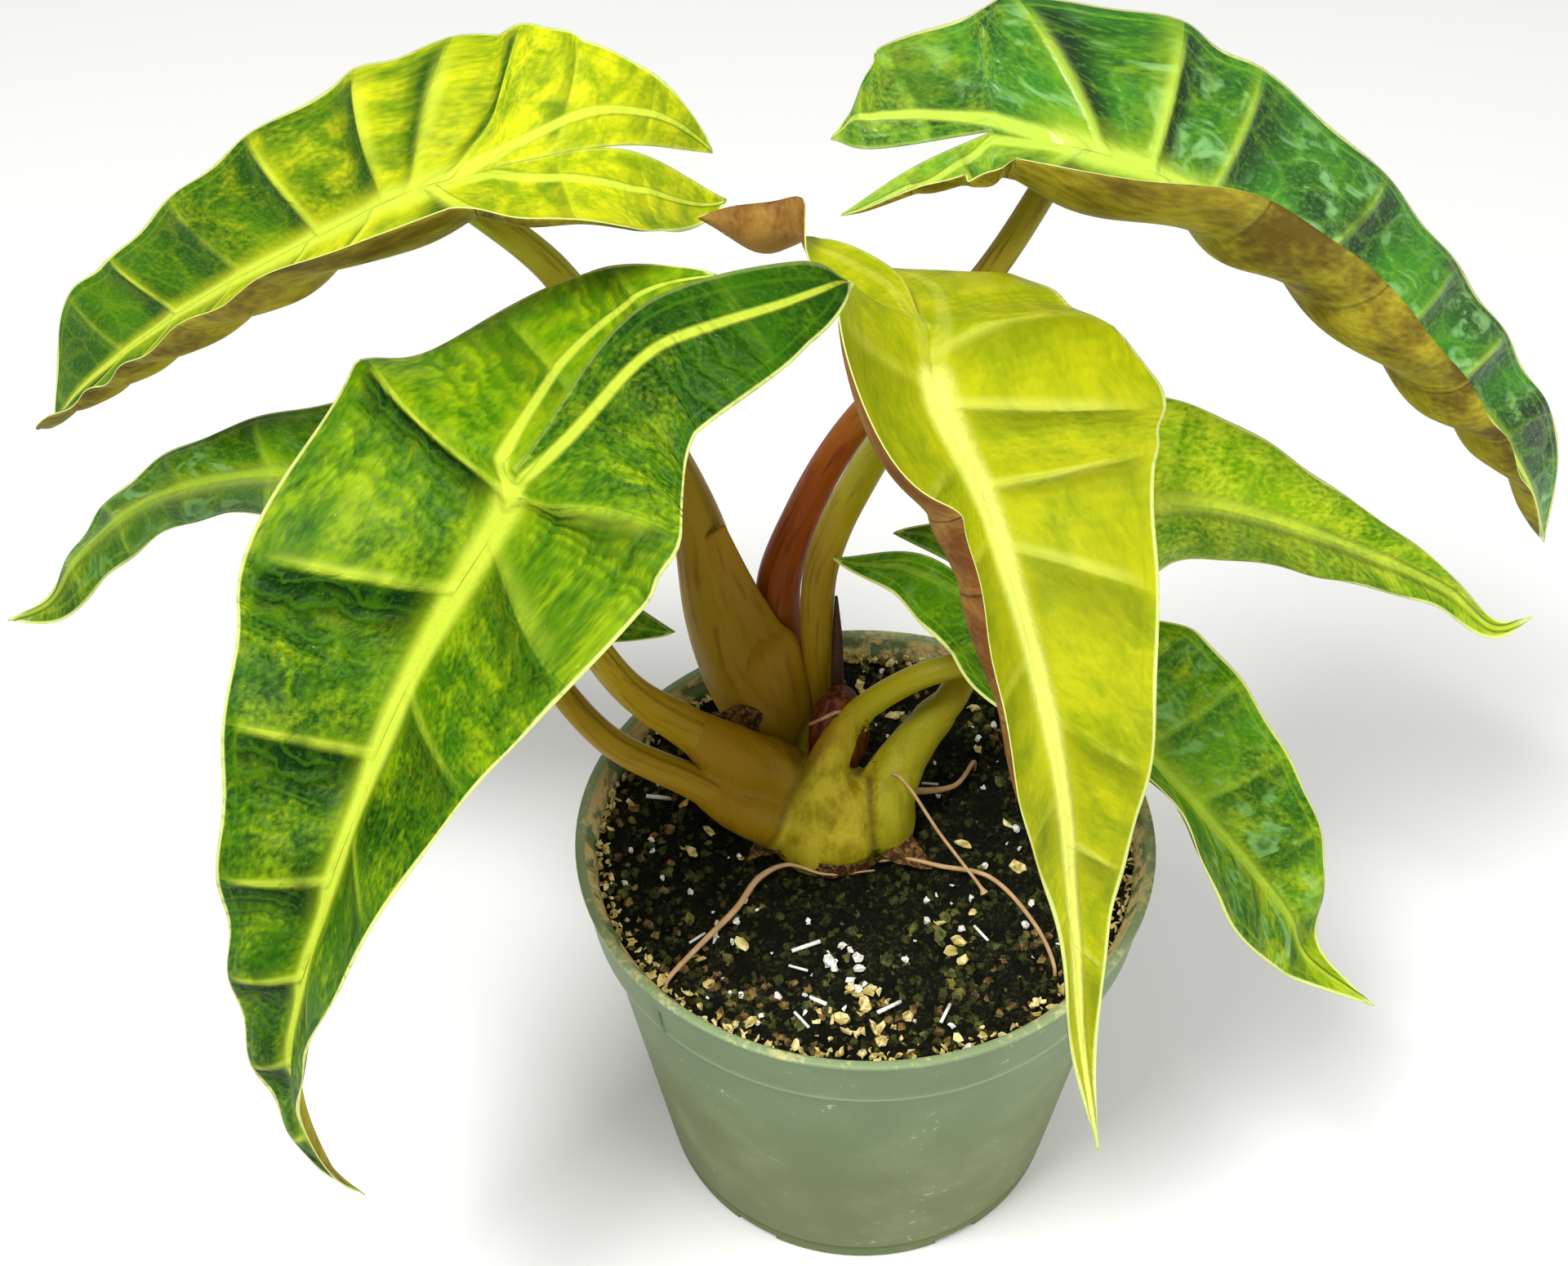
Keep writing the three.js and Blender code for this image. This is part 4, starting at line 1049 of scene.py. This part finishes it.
RIPPLE = 0.3
RIDGE_SPREAD = 1.7
RIDGE_ABOVE = 0.45
RIDGE_BELOW = 0.9
RIB_HALF_WIDTHS = ([-1, 0, 0.15, 0.5, 1], [3, 3, 2.3, 1.5, 0.45])
LOBE_HALF_WIDTHS = ([-1, -0.2, 0, 0.05], [0.3, 1.3, 2, 2])


def half_blade(half, side, s, t):
    """Points of one half of a blade, at the places s along it and the shares t of its width."""
    look, steps = 0.02, 12
    angle = math.radians(half["heading"])
    across = np.array([math.sin(angle), -math.cos(angle), 0])
    whole = half["lobe"] + half["rib"]
    lobe_places = [*np.linspace(-1, -0.5, len(half["lobe"])), NOTCH]
    places = lobe_places[:-1] + RIB_PLACES
    rib = smooth(RIB_PLACES, half["rib"], s)
    lobe = smooth(lobe_places, half["lobe"] + half["rib"][:1], s)
    point = np.where((s >= NOTCH)[..., None], rib, lobe)

    def ahead(s):
        return unit(smooth(places, whole, np.minimum(s + look, 1))
                    - smooth(places, whole, np.maximum(s - look, -1)))

    knots = ahead(np.array(places))
    outwards = unit(across - knots * (knots @ across)[:, None])
    outward = unit(np.stack([np.interp(s, places, outwards[:, k]) for k in range(3)], -1))
    up = unit(np.cross(outward, ahead(s)))

    def outwards_at(bend):
        return side * outward * np.cos(bend)[..., None] + up * np.sin(bend)[..., None]

    widths = [0, *half["width"], 0]
    width = smooth(WIDTH_PLACES, widths, s)
    from_end = np.clip((s + 1) / BLUNT_REACH, 0, 1)
    blunt = smooth(WIDTH_PLACES, widths, np.maximum(s, BLUNT_REACH - 1))
    blunt = blunt * np.sqrt(from_end * (2 - from_end))
    bluntness = np.where(s < BLUNT_REACH - 1, half.get("blunt", BLUNTNESS), 0)
    width = np.maximum(width + (blunt - width) * bluntness, LEAST_WIDTH)
    bends = half.get("bends", BEND_PLACES)
    fold = np.radians(smooth(bends, half["fold"], s))
    curl = np.radians(smooth(bends, half["curl"], s))
    if "inner" in half:
        inner = np.interp(s, *half["inner"])
        point = point - inner[..., None] * outwards_at(fold)
        width = width + inner
    for k in range(steps):
        bend = fold + curl * ((k + 0.5) / steps * t) ** 2
        point = point + (width * t / steps)[..., None] * outwards_at(bend)
    return point, width * t, width


def ease(value, low, high):
    """0 below low, 1 above high, smooth between."""
    f = np.clip((value - low) / (high - low), 0, 1)
    return f * f * (3 - 2 * f)


def blade_half(half, side, row, t):
    """The upper face of one half: points, and what its finish and relief follow."""
    veins = [(*vein, 1)[:3] for vein in half.get("veins", EVEN_VEINS)]
    roots, ends, seen = np.array(veins, float).T
    stations = [-1, *roots, 1]
    shift = np.interp(row, stations, [0, *(ends - roots), 0])
    number = np.interp(row, stations, [-0.5, *range(len(roots)), len(roots) - 0.5])
    veined = half.get("veined", 1) * np.interp(row, stations, [seen[0], *seen, seen[-1]])
    below = number - np.floor(number)
    strength = (0.3 + 0.7 * ease(row, -0.25, 0.03)) * ease(row, -1, -0.8)
    strength = strength * (1 - ease(row, 0.75, 0.97)) * (0.3 + 0.7 * veined)
    even = np.cos(2 * math.pi * below) * strength
    at_margin = ease(t, 0.6, 1)
    wave = np.cos(2 * math.pi * below ** 0.6) * strength * (1 - at_margin) + even * at_margin
    place = row + shift * t * (1 - 0.25 * t)
    point, reach, width = half_blade(half, side, place, t * (1 + SCALLOP * even))
    normal = np.cross(np.gradient(point, axis=1), np.gradient(point, axis=0)) * side
    normal = normal / (np.linalg.norm(normal, axis=-1, keepdims=True) + 1e-9)
    line = row[:, 0]
    along = np.concatenate([[0], np.cumsum(np.linalg.norm(np.diff(point[:, 0], axis=0), axis=1))])
    along = along - np.interp(0, line, along)
    rib = np.hypot(reach, np.minimum(along, 0)[:, None])
    lobe_place = 0.46 * (1 - (1 + np.minimum(row, 0)) ** 2)
    lobe = np.where(row < 0, (t - lobe_place) * width, np.hypot(reach, along[:, None]))
    from_notch = np.maximum(along - np.interp(NOTCH, line, along), 0)[:, None]
    from_ends = np.minimum(along[-1] - along, along - along[0])[:, None]
    edge = np.minimum((1 - t) * width, np.hypot(reach, from_notch))
    edge = np.minimum(edge, from_ends * 0.35 + 0.05)
    spacing = np.gradient(number[:, 0], line) / np.gradient(along, line)
    return {
        "point": point, "normal": normal, "wave": wave, "reach": reach, "rib_mm": rib,
        "along": along[:, None] + 0 * t, "rib": rib / np.interp(row, *RIB_HALF_WIDTHS),
        "lobe": lobe / np.interp(row, *LOBE_HALF_WIDTHS), "vein": number, "veined": veined,
        "vein_half": 0.9 * (1 - 0.55 * t) * spacing[:, None], "edge": edge * mm,
        "row": row, "share": t, "yellow": np.interp(row, YELLOW_PLACES, half["yellow"]),
    }


def blade_piece(name, leaf, skin, under):
    """A blade as one closed mesh: upper face, underside and the edge between them."""
    lines = np.concatenate([np.linspace(-1, NOTCH, 52)[:-1], np.linspace(NOTCH, 0, 10)[:-1],
                            np.linspace(0, 1, 168)])
    row, t = np.meshgrid(lines, np.linspace(0, 1, 38) ** 1.2, indexing="ij")
    sides = (("left", -1), ("right", 1))
    halves = [blade_half({**leaf, **leaf[key]}, side, row, t) for key, side in sides]
    shared = lines >= NOTCH - 1e-9
    middle = unit(halves[0]["normal"][:, 0] + halves[1]["normal"][:, 0])
    tops, bottoms, flats, faces, grids = [], [], [], [], []
    for half, (_, side) in zip(halves, sides):
        root = np.where(shared[:, None], middle, half["normal"][:, 0])[:, None]
        gone = np.linalg.norm(half["point"] - half["point"][:, :1], axis=-1)
        near = ease(gone, 0, 4)[..., None]
        up = root * (1 - near) + half["normal"] * near
        up = up / (np.linalg.norm(up, axis=-1, keepdims=True) + 1e-9)
        quilt = half["wave"] * leaf["quilt"] * (4 * t * (1 - t) + RIM_WAVE * t ** 3)
        ridge = np.exp(-(half["rib_mm"] / RIDGE_SPREAD) ** 2) * (1 - ease(row, 0.5, 1))
        ridge = ridge * (row > -0.12)
        thick = THICKNESS * (0.35 + 0.65 * ease(half["edge"] / mm, 0, 2.5))
        ripple = RIPPLE * t ** 2 * np.sin(half["along"] / 4.1 + side) * np.sin(half["along"] / 9.3)
        lift = quilt + ripple * ease(half["edge"] / mm, 0, 0.1)
        top = half["point"] + up * (lift + RIDGE_ABOVE * ridge)[..., None]
        bottom = half["point"] + up * (lift - thick - RIDGE_BELOW * ridge)[..., None]
        grid = len(grids) * row.size + np.arange(row.size).reshape(row.shape)
        if grids:
            grid[shared, 0] = grids[0][shared, 0]
        grids.append(grid)
        tops.append(top.reshape(-1, 3))
        bottoms.append(bottom.reshape(-1, 3))
        flats.append(np.stack([half["along"], side * half["reach"]], -1).reshape(-1, 2))
        corners = [grid[:-1, :-1], grid[1:, :-1], grid[1:, 1:], grid[:-1, 1:]]
        quads = np.stack(corners, -1).reshape(-1, 4)
        faces.append(quads if side == -1 else quads[:, ::-1])
    upper = np.concatenate(faces)
    used = np.unique(upper)
    count = len(used)
    order = np.full(2 * row.size, -1)
    order[used] = np.arange(count)
    upper = order[upper]
    ways = np.concatenate([upper[:, [k, (k + 1) % 4]] for k in range(4)])
    known = {tuple(way) for way in ways}
    rim = np.array([way for way in known if way[::-1] not in known])
    wall = np.stack([rim[:, 1], rim[:, 0], rim[:, 0] + count, rim[:, 1] + count], -1)
    everything = np.concatenate([upper, upper[:, ::-1] + count, wall])
    points = np.concatenate([np.concatenate(tops)[used], np.concatenate(bottoms)[used]]) * mm
    piece = mesh_piece(name, points, everything.tolist(), skin, under)
    below = np.zeros(len(everything), int)
    below[len(upper):2 * len(upper)] = 1
    piece.data.polygons.foreach_set("material_index", below)
    for key in ("rib", "lobe", "vein", "vein_half", "edge", "yellow", "row", "share", "veined"):
        values = np.concatenate([half[key].reshape(-1) for half in halves])[used]
        store_number(piece.data, key, np.tile(values, 2))
    store_map(piece.data, "flat", *np.tile(np.concatenate(flats)[used] * mm, (2, 1)).T)
    return piece


MARGIN_CREAM = (0.6, 0.66, 0.2, 1)
GLINT = (0.7, 0.8, 0.3, 1)
# Colour of the painted sheen, a pale green reflection:
SHEEN_GREEN = (0.24, 0.5, 0.17, 1)
MARGIN_WIDTH = 0.75 * mm
NET_SIZE = 7.5 * mm


def from_side_vein(finish):
    """Distance from the nearest side vein, in its half widths."""
    return abs((finish.given("vein") - 0.5).math("FRACT") - 0.5) / finish.given("vein_half")


def leaf_finish(name, dark, green, lime, yellow, vein, tint_and_shade_below_veins=0.8, mottle=0.4, rough=0.42,
                gloss=0.08, wrinkle=0.15, ribbing=0.7, patchy=0.9, lobing=0.8, spine=0.85,
                sheen=0.0):
    """The upper skin: variegated, with pale ribs, net and margin; darker green with painted shade
    below each side vein, painted shade and highlights on the wrinkles, and painted sheen and
    glints.
    """
    finish = Finish(name, Specular_IOR_Level=gloss)
    uv = finish.unrolled("flat")
    number, row, edge, share, veined = (
        finish.given(key) for key in ("vein", "row", "edge", "share", "veined"))
    fine = finish.grain(1.1 * mm, 3, uv)
    patch = finish.grain(7 * mm, 4, uv, warp=0.6)
    broad = finish.grain(22 * mm, 2, uv)
    on_lobe = finish.step(row, 0, -0.12)
    midrib = 1 - finish.step(abs(finish.given("rib")) + fine * 0.4, 0.7, 1.7)
    halo = (1 - finish.step(abs(finish.given("rib")) + patch, 1.2, 3.4)) * spine
    lobe_rib = 1 - finish.step(abs(finish.given("lobe")) + fine * 0.3, 0.7, 1.5)
    lateral = from_side_vein(finish)
    seen = veined * finish.step(broad + patch * 0.3, 0.4, 0.75) * (1 - on_lobe * 0.8)
    side_vein = (1 - finish.step(lateral + fine * 0.6, 0.6, 2.1)) * finish.step(share, 0.97, 0.6)
    side_vein = side_vein * seen
    below = number.math("FRACT")
    side_halo = (1 - finish.step(lateral + patch * 2, 1, 6)) * finish.step(below, 0.35, 0.8) * seen
    window = finish.step(share, 0.03, 0.16) * finish.step(share, 1.0, 0.8) * (1 - on_lobe * 0.6)
    # Below each side vein: darker green and painted shade, in a narrow valley and a wider hollow.
    valley_tint_and_shade = finish.step(below, 0.02, 0.05) * finish.step(below + patch * 0.2, 0.5, 0.18)
    valley_tint_and_shade = valley_tint_and_shade * window * veined
    hollow_tint_and_shade = finish.step(below, 0.02, 0.08) * finish.step(below + patch * 0.3, 0.7, 0.22) * window
    hollow_tint_and_shade = hollow_tint_and_shade * (0.3 + veined * 0.7) * (1 - on_lobe * 0.7)
    # Wrinkle arcs below each side vein: painted shade in the wrinkles, and pale lines that are
    # partly tertiary veins and partly painted highlights on the wrinkles' ridges.
    arcs = (number * 44 + patch * 16 + share * 6).math("SINE")
    arcs = arcs * finish.step(below, 0.9, 0.5) * finish.step(share, 0.1, 0.35) * wrinkle
    wander = finish.node("ShaderNodeTexNoise", None, {"Vector": uv, "Scale": 260.0}, "Color")
    wandered = finish.node("ShaderNodeVectorMath", {"operation": "MULTIPLY_ADD"},
                           {0: wander, 1: (0.004, 0.004, 0), 2: uv})
    net = finish.node("ShaderNodeTexVoronoi", {"feature": "DISTANCE_TO_EDGE"}, {
        "Vector": wandered, "Scale": 1 / NET_SIZE, "Randomness": 1.0}, "Distance")
    net_line = finish.step(net + fine * 0.08, 0.15, 0.03)
    fleck = finish.step(finish.grain(0.75 * mm, 2, uv), 0.52, 0.66)
    # Painted sheen: patches of pale green reflection between the side veins.
    sheen_patches = finish.step(finish.grain(8 * mm, 3, uv, warp=1.5), 0.52, 0.68) * window * sheen
    inner = finish.step(abs(edge - 2.4 * mm), 0.45 * mm, 0.1 * mm)
    glint = finish.step(finish.grain(0.6 * mm, 1, uv), 0.77, 0.8)
    outer = finish.step(edge, MARGIN_WIDTH, 0.35 * mm)
    outer = outer * (1 - finish.step(row, -0.05, NOTCH) * finish.step(share, 0.6, 0.4) * 0.8)
    variegation = finish.given("yellow") + (patch - 0.5) * patchy + (fine - 0.5) * mottle
    leafy = finish.blend(finish.step(broad + fine * 0.4, 0.45, 0.9), dark, green)
    sunny = finish.blend(finish.step(patch + fine * 0.3, 0.45, 0.85), lime, yellow)
    shade = finish.blend(finish.step(variegation, 0.2, 0.85), leafy, sunny)
    for mask, tint in (
            (arcs * 0.35 + 0.1, dark), (valley_tint_and_shade * tint_and_shade_below_veins * 0.9, dark),
            (hollow_tint_and_shade * tint_and_shade_below_veins * 0.85, dark), (finish.step(arcs, 0.3, 0.75) * 0.3, lime),
            (sheen_patches * finish.step(below, 0.15, 0.35), SHEEN_GREEN), (net_line * 0.2 + fleck * 0.2, lime),
            (halo * 0.45 + side_halo * 0.35, yellow), (side_vein * ribbing, vein),
            (lobe_rib * lobing, vein), (midrib * spine, vein), (inner * 0.3, lime),
            (glint * 0.35, GLINT), (outer, MARGIN_CREAM)):
        shade = finish.blend(mask, shade, tint)
    finish.paint(shade, rough + fine * 0.12)
    crease = finish.grain(1, 3, finish.scaled(uv, (420, 110, 1)))
    ridges = midrib * 1.3 + side_vein * ribbing * 1.3 + lobe_rib * lobing + net_line * 0.1
    finish.bump(ridges + crease * 0.25 + fine * 0.3 + arcs * 0.4 + patch * 0.9, 0.5 * mm)
    return finish


def underside(name, dark, light, rib_tint):
    """The duller lower skin: brown over olive in clouds, with the ribs standing out."""
    finish = Finish(name, Specular_IOR_Level=0.1)
    uv = finish.unrolled("flat")
    fine, patch, wide = (finish.grain(size * mm, 3, uv) for size in (1.3, 8, 20))
    lateral = finish.step(from_side_vein(finish), 2, 0.7)
    midrib = finish.step(finish.given("rib"), 1.5, 0.8)
    tone = finish.step(patch + fine * 0.5 + wide * 0.8 - finish.given("share") * 0.4, 0.5, 1.2)
    shade = finish.blend(tone, dark, light)
    shade = finish.blend(lateral * 0.2 + midrib * 0.6, shade, rib_tint)
    finish.paint(shade, 0.5 + fine * 0.2)
    finish.bump(midrib * 1.5 + lateral + fine * 0.6 + patch, 0.5 * mm)
    return finish


skins = {
    "front_left": leaf_finish(
        "skin_variegated", (0.003, 0.026, 0.001, 1), (0.03, 0.12, 0.001, 1),
        (0.075, 0.22, 0.001, 1), (0.27, 0.4, 0.002, 1), (0.55, 0.66, 0.05, 1),
        tint_and_shade_below_veins=1, mottle=0.7, wrinkle=0.8),
    "centre": leaf_finish(
        "skin_yellow", (0.12, 0.15, 0.001, 1), (0.18, 0.25, 0.002, 1),
        (0.25, 0.31, 0.002, 1), (0.43, 0.44, 0.004, 1), (0.7, 0.74, 0.14, 1),
        tint_and_shade_below_veins=0.6, ribbing=0.5, patchy=1.4, lobing=0.15),
    "upper_left": leaf_finish(
        "skin_yellow_to_green", (0.01, 0.065, 0.001, 1), (0.065, 0.19, 0.002, 1),
        (0.22, 0.33, 0.002, 1), (0.64, 0.66, 0.006, 1), (0.56, 0.68, 0.05, 1),
        tint_and_shade_below_veins=1, patchy=0.6),
    "upper_right": leaf_finish(
        "skin_dark", (0.001, 0.018, 0.001, 1), (0.035, 0.2, 0.005, 1),
        (0.18, 0.42, 0.005, 1), (0.42, 0.58, 0.01, 1), (0.5, 0.66, 0.06, 1),
        tint_and_shade_below_veins=1.1, mottle=0.3, rough=0.24, gloss=0.4, patchy=0.7, sheen=0.65),
    "mid_left": leaf_finish(
        "skin_green", (0.008, 0.06, 0.001, 1), (0.07, 0.22, 0.002, 1),
        (0.24, 0.4, 0.004, 1), (0.46, 0.56, 0.01, 1), (0.36, 0.52, 0.04, 1),
        mottle=0.6, ribbing=0.4, lobing=0.25, spine=0.5, sheen=0.4),
    "right": leaf_finish(
        "skin_speckled", (0.04, 0.16, 0.002, 1), (0.14, 0.3, 0.003, 1),
        (0.28, 0.43, 0.005, 1), (0.48, 0.58, 0.02, 1), (0.5, 0.62, 0.06, 1),
        tint_and_shade_below_veins=0.5, mottle=1.1, ribbing=0.3, spine=0.4),
}
skins["lower_right"] = skins["mid_left"]
olive_under = underside("underside_olive", (0.1, 0.065, 0.006, 1), (0.42, 0.36, 0.02, 1),
                        (0.42, 0.4, 0.05, 1))
tan_under = underside("underside_tan", (0.13, 0.045, 0.008, 1), (0.36, 0.2, 0.04, 1),
                      (0.36, 0.2, 0.05, 1))
for name, leaf in LEAVES.items():
    under = tan_under if name == "centre" else olive_under
    piece = blade_piece(f"leaf_{name}", leaf, skins[name], under)
    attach(piece, "root")
    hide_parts(f"blade_{name}")


# Floor, light and camera ------------------------------------------------------------
# A plain pale floor, one large soft light high on the left, weak fill, and the camera that looks
# down on the plant from just in front of it.

ROOM_LIGHT = 0.51
LAMPS = {"key": ((-0.35, -0.38, 1.15), 0.4, 14), "fill": ((0.9, -0.5, 0.7), 0.8, 7)}
LAMP_AIM = Vector((0, 0, 0.12))
CAMERA_PLACE = Vector((-0.0012, -0.2645, 0.3821))
CAMERA_RIGHT = Vector((0.9991, 0.0407, -0.0103))
CAMERA_UP = Vector((-0.0204, 0.6844, 0.7288))
CAMERA_AHEAD = Vector((-0.0367, 0.7279, -0.6847))

pale = Finish("floor_paint", Specular_IOR_Level=0.2)
pale.paint(pale.blend(pale.grain(0.4, 2), (0.82, 0.82, 0.81, 1), (0.86, 0.86, 0.85, 1)), 0.8)
floor = mesh_piece("floor", [(-4, -4, 0), (4, -4, 0), (4, 4, 0), (-4, 4, 0)], [(0, 1, 2, 3)], pale)

world = bpy.data.worlds.new("soft_room")
bpy.context.scene.world = world
world.use_nodes = True
world.node_tree.nodes["Background"].inputs["Color"].default_value = (1, 1, 1, 1)
world.node_tree.nodes["Background"].inputs["Strength"].default_value = ROOM_LIGHT
for name, (place, size, power) in LAMPS.items():
    light = bpy.data.lights.new(name, "AREA")
    light.size = size
    light.energy = power
    lamp = bpy.data.objects.new(name, light)
    lamp.location = place
    lamp.rotation_euler = (LAMP_AIM - Vector(place)).to_track_quat("-Z", "Y").to_euler()
    bpy.context.scene.collection.objects.link(lamp)

lens = bpy.data.cameras.new("camera")
lens.lens = 48.75
lens.sensor_width = 36
lens.clip_start = 0.01
camera = bpy.data.objects.new("camera", lens)
turn = Matrix((CAMERA_RIGHT, CAMERA_UP, -CAMERA_AHEAD)).transposed().to_4x4()
camera.matrix_world = Matrix.Translation(CAMERA_PLACE) @ turn
bpy.context.scene.collection.objects.link(camera)
bpy.context.scene.camera = camera
bpy.context.scene.view_settings.view_transform = "Standard"
